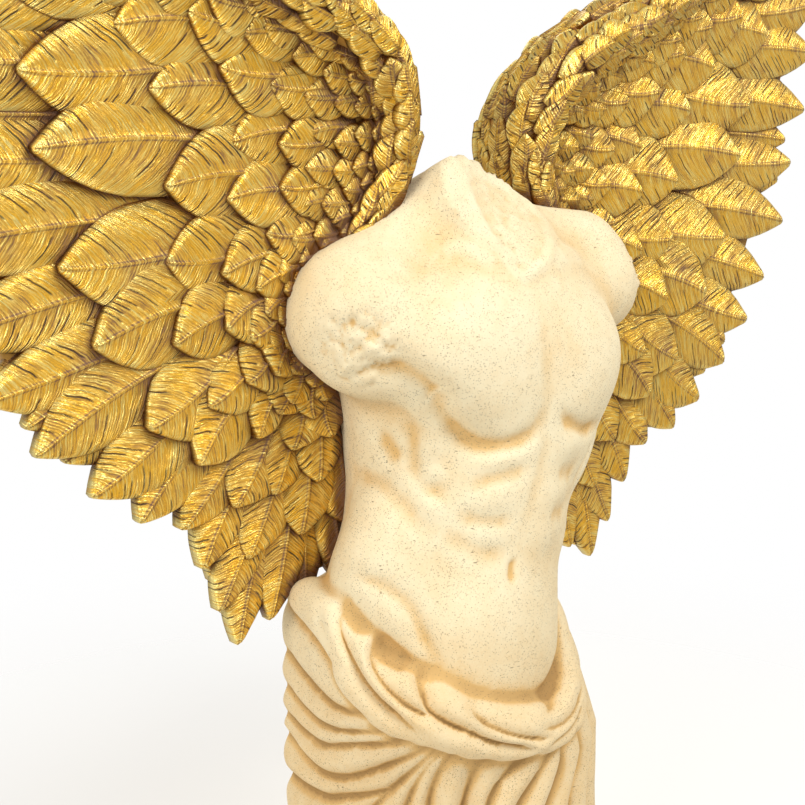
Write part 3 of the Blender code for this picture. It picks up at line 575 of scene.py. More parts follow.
def figure_relief(p):
    """How far the muscles and folds stand out from the smooth figure."""
    s = trunk_angle(p) * DEGREE
    z = p[:, 2]
    relief = np.zeros(len(p))
    for depth, width, points in BODY_LINES:
        relief += line_relief(s, z, depth, width, points, 2.0)
    for height, wide, tall, angle, level in SWELLINGS:
        relief += height * np.exp(-((s - angle * DEGREE) / wide) ** 2 - ((z - level) / tall) ** 2)
    folds = np.zeros(len(p))
    for depth, width, points in CLOTH_LINES:
        deeper = min(depth, max(depth * FOLD_DEPTH, FOLD_LIMIT))
        folds = np.minimum(folds, line_relief(s, z, deeper, width, points, FOLD_EDGE))
    return relief + folds + broken_relief(p)


def outward(p, here):
    """The direction away from the smooth figure at each place, whose distances are given."""
    step = 0.5
    slope = np.zeros_like(p)
    for k in range(3):
        offset = np.zeros(3)
        offset[k] = step
        slope[:, k] = figure_distance(p + offset) - here
    return slope / np.maximum(np.linalg.norm(slope, axis=1, keepdims=True), 1e-9)


def settle(p, rounds):
    """Moves rough places on to the smooth figure."""
    for _ in range(rounds):
        here = figure_distance(p)
        p = p - outward(p, here) * here[:, None] * SETTLE_STEP
    return p


def mesh_places(mesh):
    """The places of all vertices, one row each."""
    places = np.empty(len(mesh.vertices) * 3)
    mesh.vertices.foreach_get("co", places)
    return places.reshape(-1, 3)


def set_places(mesh, places):
    """Moves all vertices to these places."""
    mesh.vertices.foreach_set("co", places.ravel())
    mesh.update()


def as_plain_mesh(obj):
    """Keeps an object's evaluated mesh and drops its modifiers."""
    graph = bpy.context.evaluated_depsgraph_get()
    mesh = bpy.data.meshes.new_from_object(obj.evaluated_get(graph))
    obj.modifiers.clear()
    obj.data = mesh
    return obj


def add_object(name, bm):
    """Puts a finished bmesh into the scene as an object."""
    mesh = bpy.data.meshes.new(name)
    bm.to_mesh(mesh)
    bm.free()
    obj = bpy.data.objects.new(name, mesh)
    bpy.context.scene.collection.objects.link(obj)
    return obj


def merge_skin(obj, step):
    """Makes one closed skin of everything in an object, this fine."""
    skin = obj.modifiers.new("one_skin", "REMESH")
    skin.mode = "VOXEL"
    skin.voxel_size = step
    as_plain_mesh(obj)


def rough_ball(bm, middle, half, lean=0.0):
    """An oval ball of the rough figure, in parts of its height."""
    ball = bmesh.ops.create_icosphere(bm, subdivisions=3, radius=1.0)["verts"]
    c = math.cos(math.radians(lean))
    s = math.sin(math.radians(lean))
    for vert in ball:
        x, y, z = (vert.co[k] * half[k] for k in range(3))
        vert.co = (middle[0] + x * c - z * s, middle[1] + y, middle[2] + x * s + z * c)


def rough_limb(bm, start, end, r0, r1):
    """A row of balls from one place to another."""
    balls = 7
    for i in range(balls):
        t = i / (balls - 1)
        radius = r0 + (r1 - r0) * t
        rough_ball(bm, Vector(start).lerp(Vector(end), t), (radius, radius, radius))


def roll_places():
    """The roll's middle line, sunk a little into the column."""
    places = []
    for angle, z, _, sink in ROLL:
        a = math.radians(angle)
        middle, wide, deep = column_at(z)
        places.append((middle + (wide - sink) * math.sin(a), COLUMN_MIDDLE - (deep - sink) * math.cos(a), z))
    return places


def rough_figure():
    """All masses as overlapping balls and a column, which the skin is drawn round."""
    bm = bmesh.new()
    for middle, half, lean, _ in MASSES:
        rough_ball(bm, middle, half, lean)
    for start, end, r0, r1, _ in LIMBS:
        rough_limb(bm, start, end, r0, r1)
    start, end, r0, r1, _ = NECK
    rough_limb(bm, start, Vector(start).lerp(Vector(end), NECK_CORE), r0, r1)
    places = roll_places()
    for start, end, row in zip(places, places[1:], ROLL):
        rough_limb(bm, start, end, row[2] - ROLL_CORE, row[2] - ROLL_CORE)
    top = min(row[1] for row in ROLL)
    column = bmesh.ops.create_cone(bm, cap_ends=True, segments=40, radius1=1.0, radius2=1.0, depth=1.0)
    for vert in column["verts"]:
        z = HEM if vert.co.z < 0 else top
        middle, wide, deep = column_at(z)
        vert.co = (middle + vert.co.x * wide, COLUMN_MIDDLE + vert.co.y * deep, z)
    for vert in bm.verts:
        y = vert.co.y
        if y > BACK_LINE:
            vert.co.y = BACK_LINE + (y - BACK_LINE) / BACK_STRETCH
        vert.co *= FIGURE_UNIT
    return add_object("stone_torso", bm)


def flatten_back(obj):
    """Cuts the figure off at the wall and closes the cut with one flat face."""
    bm = bmesh.new()
    bm.from_mesh(obj.data)
    everything = bm.verts[:] + bm.edges[:] + bm.faces[:]
    bmesh.ops.bisect_plane(bm, geom=everything, plane_co=(0, 0, 0), plane_no=(0, 1, 0), clear_outer=True)
    open_edges = [edge for edge in bm.edges if edge.is_boundary]
    bmesh.ops.edgeloop_fill(bm, edges=open_edges)
    bmesh.ops.recalc_face_normals(bm, faces=bm.faces)
    bm.to_mesh(obj.data)
    bm.free()


def neighbour_mean(mesh, values, rounds):
    """The values of all vertices, evened out over their neighbours."""
    ends = np.empty(len(mesh.edges) * 2, int)
    mesh.edges.foreach_get("vertices", ends)
    a, b = ends.reshape(-1, 2).T
    count = np.bincount(a, minlength=len(values)) + np.bincount(b, minlength=len(values))
    for _ in range(rounds):
        total = np.zeros_like(values)
        for k in range(values.shape[1]):
            total[:, k] = np.bincount(a, values[b, k], len(values))
            total[:, k] += np.bincount(b, values[a, k], len(values))
        values = (1.0 - EVENING) * values + EVENING * total / count[:, None]
    return values


def store_hollows(mesh):
    """Notes on each vertex how deep it lies between its neighbours, in millimetres: near ones, and all."""
    places = mesh_places(mesh)
    normals = np.empty(len(mesh.vertices) * 3)
    mesh.vertices.foreach_get("normal", normals)
    hollow = np.zeros(len(places))
    for name, rounds in (("crease", 10), ("hollow", 40)):
        even = neighbour_mean(mesh, places, rounds)
        hollow += ((even - places) * normals.reshape(-1, 3)).sum(1) / MILLIMETRE
        attribute = mesh.attributes.new(name, "FLOAT", "POINT")
        attribute.data.foreach_set("value", hollow.astype(np.float32))


def stone_torso(step, finish):
    """The whole casting: torso, cloth and flat back as one skin."""
    obj = rough_figure()
    merge_skin(obj, step * ROUGH_STEP)
    mesh = obj.data
    set_places(mesh, settle(mesh_places(mesh) / FIGURE_UNIT, rounds=5) * FIGURE_UNIT)
    merge_skin(obj, step)
    finer = obj.modifiers.new("finer", "SUBSURF")
    finer.subdivision_type = "SIMPLE"
    finer.levels = finer.render_levels = 1
    as_plain_mesh(obj)
    mesh = obj.data
    places = settle(mesh_places(mesh) / FIGURE_UNIT, rounds=2)
    direction = outward(places, figure_distance(places))
    places = places + direction * figure_relief(places)[:, None]
    set_places(mesh, places * FIGURE_UNIT)
    flatten_back(obj)
    mesh = obj.data
    mesh.shade_smooth()
    for face in mesh.polygons:
        face.use_smooth = face.center.y < -WALL_SLACK
    store_hollows(mesh)
    mesh.materials.clear()
    mesh.materials.append(finish)
    return obj


class WingLine:
    """A smooth line on the wing, which gives the place at any share of its length."""

    steps = 8                # places on the line from one of its given points to the next

    def __init__(self, points):
        self.path = curve_through(points, self.steps)
        lengths = np.linalg.norm(np.diff(self.path, axis=0), axis=1)
        self.run = np.concatenate([[0.0], np.cumsum(lengths)])
        self.length = self.run[-1] * WING_UNIT

    def share(self, index):
        """How far along the line one of its given points lies."""
        return self.run[self.steps * index] / self.run[-1]

    def at(self, t):
        """Place at a share of the line's length."""
        here = min(max(t, 0.0), 1.0) * self.run[-1]
        return np.array([np.interp(here, self.run, self.path[:, k]) for k in (0, 1)]) * WING_UNIT


RIM = WingLine(RIM_LINE)
TIPS = WingLine(TIP_LINE)


def rim_share(t):
    """Where along the leading edge the feather at t springs from."""
    return RIM_SHARE * t + (1.0 - RIM_SHARE) * max(t, 0.0) ** RIM_TURN


def wing_spot(t, v):
    """Place on the wing: t from the lowest feather to the wing's tip, v from the rim to the feather tips."""
    root = RIM.at(rim_share(t))
    return root + (TIPS.at(t) - root) * v


def rim_section(share):
    """Front, back and width of the ridge at a share of its length."""
    shares = [row[0] for row in RIM_SECTION]
    slim = 1.0 - RIM_TAPER * max(0.0, (share - RIM_TAPER_START) / (1.0 - RIM_TAPER_START)) ** 1.3
    front, back, wide = (float(np.interp(share, shares, [row[k] for row in RIM_SECTION])) for k in (1, 2, 3))
    middle = (front + back) / 2
    return middle + (front - back) / 2 * slim, middle - (front - back) / 2 * slim, RIM_WIDTH * wide * slim


def bed_depth(t, v):
    """How far the bed stands out from the wall."""
    out = np.linalg.norm(wing_spot(t, v) - wing_spot(t, 0.0))
    near = rim_section(rim_share(t))[0] - BED_SINK
    far = float(np.interp(t, [row[0] for row in BED_FAR], [row[1] for row in BED_FAR]))
    return far + (near - far) * math.exp(-out / BED_FALL)


def wing_place(t, v, proud=0.0):
    """Place on the bed's front, or this far proud of it."""
    x, z = wing_spot(t, v)
    return Vector((x, -bed_depth(t, v) - proud, z))


def wing_facing(t, v):
    """The direction that the bed faces at a place."""
    along = wing_place(min(t + 0.02, 1.0), v) - wing_place(max(t - 0.02, 0.0), v)
    across = wing_place(t, v + 0.04) - wing_place(t, max(v - 0.04, 0.0))
    facing = along.cross(across).normalized()
    if facing.y > 0:
        facing.negate()
    return (facing + Vector((0, -1, 0))).normalized()


def rim_place(t, turn):
    """Place on the ridge: t along it, turn in degrees from its front towards the outer side."""
    here = RIM.at(t)
    run = RIM.at(min(t + 0.01, 1.0)) - RIM.at(max(t - 0.01, 0.0))
    run = run / np.linalg.norm(run)
    front, back, wide = rim_section(t)
    a = math.radians(turn)
    side = np.array([run[1], -run[0]]) * wide / 2 * math.sin(a)
    y = -(front + back) / 2 - (front - back) / 2 * math.cos(a)
    return Vector((here[0] + side[0], y, here[1] + side[1]))


def wing_bed():
    """The smooth bed that carries the feathers."""
    bm = bmesh.new()
    bmesh.ops.create_grid(bm, x_segments=60, y_segments=24, size=0.5)
    for vert in bm.verts:
        t = BED_MARGIN + (1.0 - 2.0 * BED_MARGIN) * (vert.co.x + 0.5)
        vert.co = wing_place(t, (vert.co.y + 0.5) * BED_REACH)
    obj = add_object("wing_bed", bm)
    wall = obj.modifiers.new("thickness", "SOLIDIFY")
    wall.thickness = BED_THICKNESS
    wall.offset = 1.0
    return as_plain_mesh(obj)


def wing_rim():
    """The ridge along the leading edge: one oval section after another."""
    stations = 60
    sides = 20
    bm = bmesh.new()
    rings = []
    for i in range(stations):
        t = i / (stations - 1)
        rings.append([bm.verts.new(rim_place(t, 360.0 * j / sides)) for j in range(sides)])
    for a, b in zip(rings, rings[1:]):
        for j in range(sides):
            k = (j + 1) % sides
            bm.faces.new((a[j], a[k], b[k], b[j]))
    bm.faces.new(rings[0])
    bm.faces.new(rings[-1])
    bmesh.ops.recalc_face_normals(bm, faces=bm.faces)
    return add_object("wing_rim", bm)


def feather_top(across, share, thickness):
    """Height of a feather's upper face: rounded edge, crowned vane, raised quill with grooves beside it."""
    out = abs(across)
    edge = thickness * (1.0 - 0.6 * max(0.0, (out - EDGE_START) / (1.0 - EDGE_START)) ** 2)
    edge *= 1.0 - 0.55 * max(0.0, (share - TIP_START) / (1.0 - TIP_START)) ** 2
    crown = CROWN_HEIGHT * (1.0 - out * out)
    quill = QUILL_HEIGHT * math.exp(-(across / QUILL_WIDTH) ** 2) * (1.2 - share)
    groove = -GROOVE_DEPTH * math.exp(-((out - GROOVE_PLACE) / GROOVE_WIDTH) ** 2)
    return edge + crown + quill + groove


def feather_blank(name, coll, outline, columns, rows, bend, sizes):
    """One feather of length and width 1: closed, with a map of its face and a note of its rounded edge."""
    thickness = sizes.thickness
    shares = [1.0 - (1.0 - i / rows) ** FACE_CROWDING for i in range(rows + 1)]
    bm = bmesh.new()
    edge_note = bm.verts.layers.float.new("edge")
    map_layer = bm.loops.layers.uv.new("feather_map")
    spots = {}

    def point(across, share, height):
        y = share + FACE_BOW * abs(across) * share * (1.0 - share)
        wide = np.interp(y, [row[0] for row in outline], [row[1] for row in outline])
        vert = bm.verts.new((0.5 * across * wide + bend * y * (y - 1.0), y, height))
        spots[vert] = (0.5 + 0.5 * across * wide, y)
        near_tip = max(0.0, (y - RUBBED_AND_HIGHLIT_TIP) / (1.0 - RUBBED_AND_HIGHLIT_TIP))
        vert[edge_note] = max(abs(across) ** 6, near_tip ** 2)
        return vert

    tops = []
    for share in shares:
        row = []
        for across in columns:
            row.append(point(across, share, feather_top(across, share, thickness)))
        tops.append(row)
    lows = [[point(side * UNDERSIDE, share, -thickness) for side in (-1, 1)] for share in shares]
    for a, b, low_a, low_b in zip(tops, tops[1:], lows, lows[1:]):
        for j in range(len(columns) - 1):
            bm.faces.new((a[j], a[j + 1], b[j + 1], b[j]))
        bm.faces.new((low_a[0], a[0], b[0], low_b[0]))
        bm.faces.new((a[-1], low_a[1], low_b[1], b[-1]))
        bm.faces.new((low_a[1], low_a[0], low_b[0], low_b[1]))
    bm.faces.new(list(reversed(tops[0])) + [lows[0][0], lows[0][1]])
    bm.faces.new(tops[-1] + [lows[-1][1], lows[-1][0]])
    bmesh.ops.recalc_face_normals(bm, faces=bm.faces)
    for face in bm.faces:
        face.smooth = True
        for loop in face.loops:
            loop[map_layer].uv = spots[loop.vert]
    mesh = bpy.data.meshes.new(name)
    bm.to_mesh(mesh)
    bm.free()
    coll.objects.link(bpy.data.objects.new(name, mesh))


def feather_blanks(sizes):
    """The six blanks: covert, long covert and flight feather, each bent to either side."""
    coll = bpy.data.collections.new("feather_blanks")
    for k, bend in enumerate(BENDS):
        feather_blank(f"blank_{COVERT + k}_covert", coll, COVERT_OUTLINE, SMALL_ACROSS, 8, bend, sizes)
        feather_blank(f"blank_{LONG_COVERT + k}_long", coll, COVERT_OUTLINE, LARGE_ACROSS, 14, bend, sizes)
        feather_blank(f"blank_{FLIGHT + k}_flight", coll, FLIGHT_OUTLINE, LARGE_ACROSS, 20, bend, sizes)
    return coll


def feather_width(t, v):
    """Share of its row's width that a feather at t has."""
    return 1.0 - v * (1.0 - np.interp(t, [row[0] for row in ROW_WIDTHS], [row[1] for row in ROW_WIDTHS]))


def row_shares(v, width, shift):
    """Even places along one row of feathers; in the outermost row one of them is the lowest tip."""
    samples = np.linspace(0.0, 1.0, 160)
    places = np.array([wing_spot(t, v) for t in samples])
    steps = np.linalg.norm(np.diff(places, axis=0), axis=1) / feather_width(samples[1:], v)
    run = np.concatenate([[0.0], np.cumsum(steps)])
    count = max(int(run[-1] / (width * WING_UNIT)), 3)
    if v == 1.0:
        shift = np.interp(TIPS.share(LOWEST_TIP), samples, run) / run[-1] * count % 1.0
    shares = [float(np.interp((i + shift) / count * run[-1], run, samples)) for i in range(count)]
    return shares + [1.0] if v == 1.0 else shares


def feather_turn(base, tip, facing):
    """The turn that lays a blank from base to tip with its face out."""
    axis = (tip - base).normalized()
    side = axis.cross(facing).normalized()
    up = side.cross(axis)
    return Matrix((side, axis, up)).transposed().to_euler()


def feather_places(sizes):
    """Base, turn, size and kind of every feather of the right wing."""
    pick = np.random.default_rng(sizes.seed)
    places = []
    reach = [0.0] * ROW_REACH + [row[0] for row in FEATHER_ROWS]
    for k, (v, width, lift, kind) in enumerate(FEATHER_ROWS):
        start = reach[k] * ROW_START if lift > 0 else LAST_ROW_START
        for t in row_shares(v, width, 0.25 + 0.5 * (k % 2)):
            t = min(max(t + pick.uniform(*ROW_STRAY), 0.0), 1.0)
            end = v * (1.0 + (pick.uniform(*TIP_STRAY) if v < 0.9 else 0.0))
            facing = wing_facing(t, 0.5 * (start + end))
            base = wing_place(t, start, -FEATHER_SINK)
            tip = wing_place(t, end, (lift - 1.0) * MILLIMETRE)
            wide = width * feather_width(t, v) * WING_UNIT * sizes.overlap * pick.uniform(*WIDTH_STRAY)
            if kind == FLIGHT:
                wide = min(wide, SLIM_FEATHER * (tip - base).length)
            turn = feather_turn(base, tip, facing)
            size = (wide, (tip - base).length, COVERT_THICKNESS if kind == COVERT else 1.0)
            places.append((base, turn, size, kind + int(pick.integers(2)), pick.random()))
    width, length = (size * WING_UNIT for size in RIM_FEATHER)
    count = int(RIM.length / (RIM_STEP * length))
    for column, turn_angle in enumerate(RIM_COLUMNS + COLLAR_COLUMNS):
        on_collar = column >= len(RIM_COLUMNS)
        for i in range(count):
            t = (i + 0.5 * (column % 2)) / count
            if (t < COLLAR) != on_collar:
                continue
            grow = COLLAR_GROWTH if on_collar else rim_section(t)[2] / RIM_WIDTH
            grow *= pick.uniform(*RIM_GROWTH)
            facing = Vector((math.sin(math.radians(turn_angle)), -math.cos(math.radians(turn_angle)), 0))
            base = rim_place(t, turn_angle) - facing * FEATHER_SINK
            astray = turn_angle * RIM_FAN + pick.uniform(-RIM_STRAY, RIM_STRAY)
            tip = rim_place(min(t + length / RIM.length, 1.0), astray) + facing * RIM_LIFT
            if (tip - base).length < RIM_SHORTEST * length:
                continue
            turn = feather_turn(base, tip, facing)
            size = (width * grow, (tip - base).length, COVERT_THICKNESS * grow)
            places.append((base, turn, size, COVERT + int(pick.integers(2)), pick.random()))
    return places


def feather_points(sizes):
    """One point for each feather, with its turn, size, kind and tone as attributes."""
    places = feather_places(sizes)
    mesh = bpy.data.meshes.new("feather_points")
    mesh.from_pydata([row[0] for row in places], [], [])
    for name, kind, slot, field in (
            ("turn", "FLOAT_VECTOR", 1, "vector"), ("size", "FLOAT_VECTOR", 2, "vector"),
            ("kind", "INT", 3, "value"), ("tone", "FLOAT", 4, "value")):
        layer = mesh.attributes.new(name, kind, "POINT")
        layer.data.foreach_set(field, np.array([row[slot] for row in places]).ravel())
    obj = bpy.data.objects.new("wing_feathers", mesh)
    bpy.context.scene.collection.objects.link(obj)
    return obj


def add(tree, kind, inputs=None, **settings):
    """Adds a node: settings are its own values, inputs are socket values or the sockets that feed it."""
    node = tree.nodes.new(kind)
    for name, value in settings.items():
        setattr(node, name, value)
    for key, value in (inputs or {}).items():
        socket = node.inputs[key]
        if isinstance(value, bpy.types.NodeSocket):
            tree.links.new(value, socket)
        else:
            socket.default_value = value
    return node


def feather_tree():
    """Lays a blank on every point, turned and sized as the point says, and ruffles it a little."""
    tree = bpy.data.node_groups.new("lay_feathers", "GeometryNodeTree")
    for name, kind, default in (
            ("Points", "NodeSocketGeometry", None), ("Blanks", "NodeSocketCollection", None),
            ("Width", "NodeSocketFloat", 1.0), ("Length", "NodeSocketFloat", 1.0),
            ("Thickness", "NodeSocketFloat", 1.0), ("Ruffle", "NodeSocketFloat", 0.05),
            ("Seed", "NodeSocketInt", 11), ("Finish", "NodeSocketMaterial", None)):
        socket = tree.interface.new_socket(name, in_out="INPUT", socket_type=kind)
        if default is not None:
            socket.default_value = default
    tree.interface.new_socket("Feathers", in_out="OUTPUT", socket_type="NodeSocketGeometry")
    given = tree.nodes.new("NodeGroupInput").outputs
    blanks = add(tree, "GeometryNodeCollectionInfo", {
        "Collection": given["Blanks"], "Separate Children": True, "Reset Children": True})
    turn = add(tree, "GeometryNodeInputNamedAttribute", {"Name": "turn"}, data_type="FLOAT_VECTOR")
    size = add(tree, "GeometryNodeInputNamedAttribute", {"Name": "size"}, data_type="FLOAT_VECTOR")
    kind = add(tree, "GeometryNodeInputNamedAttribute", {"Name": "kind"}, data_type="INT")
    factors = add(tree, "ShaderNodeCombineXYZ", {
        "X": given["Width"], "Y": given["Length"], "Z": given["Thickness"]})
    sized = add(tree, "ShaderNodeVectorMath", {
        0: size.outputs["Attribute"], 1: factors.outputs["Vector"]}, operation="MULTIPLY")
    laid = add(tree, "GeometryNodeInstanceOnPoints", {
        "Points": given["Points"], "Instance": blanks.outputs[0], "Pick Instance": True,
        "Instance Index": kind.outputs["Attribute"], "Rotation": turn.outputs["Attribute"],
        "Scale": sized.outputs["Vector"]})
    least = add(tree, "ShaderNodeVectorMath", {
        0: RUFFLE_AXES, "Scale": add(tree, "ShaderNodeMath", {
            0: given["Ruffle"], 1: -1.0}, operation="MULTIPLY").outputs[0]}, operation="SCALE")
    most = add(tree, "ShaderNodeVectorMath", {
        0: RUFFLE_AXES, "Scale": given["Ruffle"]}, operation="SCALE")
    random_turn = add(tree, "FunctionNodeRandomValue", {
        "Min": least.outputs["Vector"], "Max": most.outputs["Vector"], "Seed": given["Seed"]},
        data_type="FLOAT_VECTOR")
    ruffled = add(tree, "GeometryNodeRotateInstances", {
        "Instances": laid.outputs["Instances"], "Rotation": random_turn.outputs["Value"],
        "Local Space": True})
    real = add(tree, "GeometryNodeRealizeInstances", {"Geometry": ruffled.outputs["Instances"]})
    painted = add(tree, "GeometryNodeSetMaterial", {
        "Geometry": real.outputs["Geometry"], "Material": given["Finish"]})
    add(tree, "NodeGroupOutput", {0: painted.outputs["Geometry"]})
    return tree


def wing_feathers(sizes, finish):
    """All feathers of the right wing as one plain mesh."""
    points = feather_points(sizes)
    tree = feather_tree()
    blanks = feather_blanks(sizes)
    values = {
        "Blanks": blanks, "Width": 1.0, "Length": 1.0, "Thickness": 1.0,
        "Ruffle": sizes.ruffle, "Seed": sizes.seed, "Finish": finish}
    lay = points.modifiers.new("lay_feathers", "NODES")
    lay.node_group = tree
    for item in tree.interface.items_tree:
        if item.name in values:
            lay[item.identifier] = values[item.name]
    as_plain_mesh(points)
    return points


def join_meshes(name, pieces):
    """One mesh of several pieces."""
    bpy.ops.object.select_all(action="DESELECT")
    for piece in pieces:
        piece.select_set(True)
    bpy.context.view_layer.objects.active = pieces[0]
    bpy.ops.object.join()
    obj = pieces[0]
    obj.name = name
    obj.data.name = name
    return obj


def mirrored(obj, name):
    """The same wing on the other side, with its faces turned the right way again."""
    bm = bmesh.new()
    bm.from_mesh(obj.data)
    bmesh.ops.scale(bm, vec=(-1, 1, 1), verts=bm.verts)
    bmesh.ops.reverse_faces(bm, faces=bm.faces)
    mesh = obj.data.copy()
    bm.to_mesh(mesh)
    bm.free()
    other = bpy.data.objects.new(name, mesh)
    bpy.context.scene.collection.objects.link(other)
    return other


TIMES = {"operation": "MULTIPLY"}
TIMES_PLUS = {"operation": "MULTIPLY_ADD"}
TIMES_PLUS_CLAMPED = {"operation": "MULTIPLY_ADD", "use_clamp": True}
PLUS = {"operation": "ADD"}
MINUS = {"operation": "SUBTRACT"}
OVER = {"operation": "DIVIDE"}
SIZE_OF = {"operation": "ABSOLUTE"}
MORE_THAN = {"operation": "GREATER_THAN"}
COLOURS = {"data_type": "RGBA"}


def add_all(tree, made, rows):
    """Adds a node for each row: its name, kind, settings and inputs, which may name what was made before."""
    for name, kind, settings, inputs in rows:
        given = {key: made[value] if isinstance(value, str) else value for key, value in inputs.items()}
        node = add(tree, "ShaderNode" + kind, given, **settings)
        for socket in node.outputs:
            made[f"{name}.{socket.name}"] = socket
        made[name] = node.outputs[2 if kind == "Mix" else 0]


def new_finish(name, look, colours):
    """A material with its tree, its shader and what its rows may name: colours of a look and the place."""
    mat = bpy.data.materials.new(name)
    mat.use_nodes = True
    tree = mat.node_tree
    made = {colour: (*getattr(look, colour), 1) for colour in colours}
    made["place"] = add(tree, "ShaderNodeTexCoord").outputs["Object"]
    return mat, tree, tree.nodes["Principled BSDF"], made


def stone_finish(look):
    """Cast stone resin, moulded and left matt: sandy grain, pits and dark grains break up the cream, and
    painted shade darkens the hollows, the folds and the lower cloth.
    """
    mat, tree, shader, made = new_finish("moulded_stone_resin", look, ("light", "warm_tone_and_shade", "crease", "speck"))
    # Scales are cells to a metre: patches of 110 mm, mottling of 14 mm and sand of 1.1 mm. Real sand is
    # finer, and is drawn this coarse so that it shows.
    add_all(tree, made, (
        ("hollow", "Attribute", {"attribute_name": "hollow"}, {}),
        ("fold", "Attribute", {"attribute_name": "crease"}, {}),
        ("spot", "SeparateXYZ", {}, {"Vector": "place"}),
        ("cloud", "TexNoise", {}, {"Vector": "place", "Scale": 9.0, "Detail": 4.0, "Roughness": 0.6}),
        ("mottle", "TexNoise", {}, {"Vector": "place", "Scale": 70.0, "Detail": 5.0, "Roughness": 0.7}),
        ("sand", "TexNoise", {}, {"Vector": "place", "Scale": 900.0, "Detail": 3.0, "Roughness": 0.75}),
        # Painted shade: the hollows of the skin (deep) are mixed towards the warm colour, together with the
        # stone's own clouds, mottling and sand
        ("deep", "MapRange", {}, {"Value": "hollow.Fac", 1: -0.6, 2: 3.4, 3: 0.0, 4: 1.0}),
        # Painted shade: from 0.18 m down to 0.27 m below the mount the cloth is mixed further towards the
        # warm colour
        ("cloth", "MapRange", {}, {"Value": "spot.Z", 1: -0.18, 2: -0.27, 3: 0.0, 4: 1.0}),
        ("stone_tone_and_shade", "Math", TIMES_PLUS, {0: "cloud", 1: 0.75, 2: -0.30}),
        ("stone_tone_and_shade", "Math", TIMES_PLUS, {0: "mottle", 1: 0.5, 2: "stone_tone_and_shade"}),
        ("stone_tone_and_shade", "Math", TIMES_PLUS, {0: "deep", 1: 0.8, 2: "stone_tone_and_shade"}),
        ("stone_tone_and_shade", "Math", TIMES_PLUS, {0: "sand", 1: 0.7, 2: "stone_tone_and_shade"}),
        ("stone_tone_and_shade", "Math", TIMES_PLUS, {0: "cloth", 1: 0.34, 2: "stone_tone_and_shade"}),
        ("stone_tone_and_shade", "Math", {"operation": "SUBTRACT", "use_clamp": True}, {0: "stone_tone_and_shade", 1: 0.52}),
        ("base", "Mix", COLOURS, {"Factor": "stone_tone_and_shade", 6: "light", 7: "warm_tone_and_shade"}),
        # Painted shade: the bottoms of the cloth's folds are mixed towards the crease colour
        ("fold", "MapRange", {}, {"Value": "fold.Fac", 1: 0.25, 2: 2.2, 3: 0.0, 4: 0.75}),
        ("fold", "Math", TIMES, {0: "fold", 1: "cloth"}),
        ("base", "Mix", COLOURS, {"Factor": "fold", 6: "base", 7: "crease"})))
    made["specks"] = stone_specks(tree, made, (1.0, 1.0, 1.3), 900.0, 0.58, 0.28)
    made["cracks"] = stone_specks(tree, made, (0.45, 0.45, 1.5), 330.0, 0.735, 0.15)
    add_all(tree, made, (
        ("dark", "Math", {"operation": "MAXIMUM", "use_clamp": True}, {0: "specks", 1: "cracks"}),
        ("some", "Math", TIMES, {0: "dark", 1: 0.75}),
        ("colour", "Mix", COLOURS, {"Factor": "some", 6: "base", 7: "speck"}),
        ("grain", "Math", TIMES_PLUS, {0: "sand", 1: 0.7, 2: "mottle"}),
        ("height", "Math", TIMES_PLUS, {0: "dark", 1: -0.8, 2: "grain"}),
        ("bump", "Bump", {}, {"Strength": 0.55, "Distance": 0.0011, "Height": "height"})))
    tree.links.new(made["colour"], shader.inputs["Base Color"])
    tree.links.new(made["bump"], shader.inputs["Normal"])
    shader.inputs["Roughness"].default_value = 0.86
    shader.inputs["Specular IOR Level"].default_value = 0.3
    return mat


def stone_specks(tree, made, stretch, cells, share, size):
    """Grains or short cracks: a few cells of a pattern, picked where a cloud is dense."""
    # The cells are 1.1 mm for grains and 3 mm for cracks, coarser than in real sand so that they show
    add_all(tree, made, (
        ("spread", "Mapping", {}, {"Vector": "place", "Scale": stretch}),
        ("wobble", "TexNoise", {}, {"Vector": "place", "Scale": 240.0, "Detail": 2.0}),
        ("shaken", "VectorMath", TIMES_PLUS, {0: "wobble.Color", 1: (0.0022, 0.0022, 0.0022), 2: "spread"}),
        ("grains", "TexVoronoi", {}, {"Vector": "shaken", "Scale": cells}),
        ("pick", "SeparateColor", {}, {"Color": "grains.Color"}),
        ("crowd", "TexNoise", {}, {"Vector": "place", "Scale": 22.0, "Detail": 3.0}),
        ("need", "Math", TIMES_PLUS, {0: "crowd", 1: -0.55, 2: share + 0.5}),
        ("chosen", "Math", MORE_THAN, {0: "pick", 1: "need"}),
        ("grain", "MapRange", {}, {"Value": "grains.Distance", 1: size, 2: size * 1.5, 3: 1.0, 4: 0.0}),
        ("shown", "Math", TIMES, {0: "chosen", 1: "grain"})))
    return made["shown"]


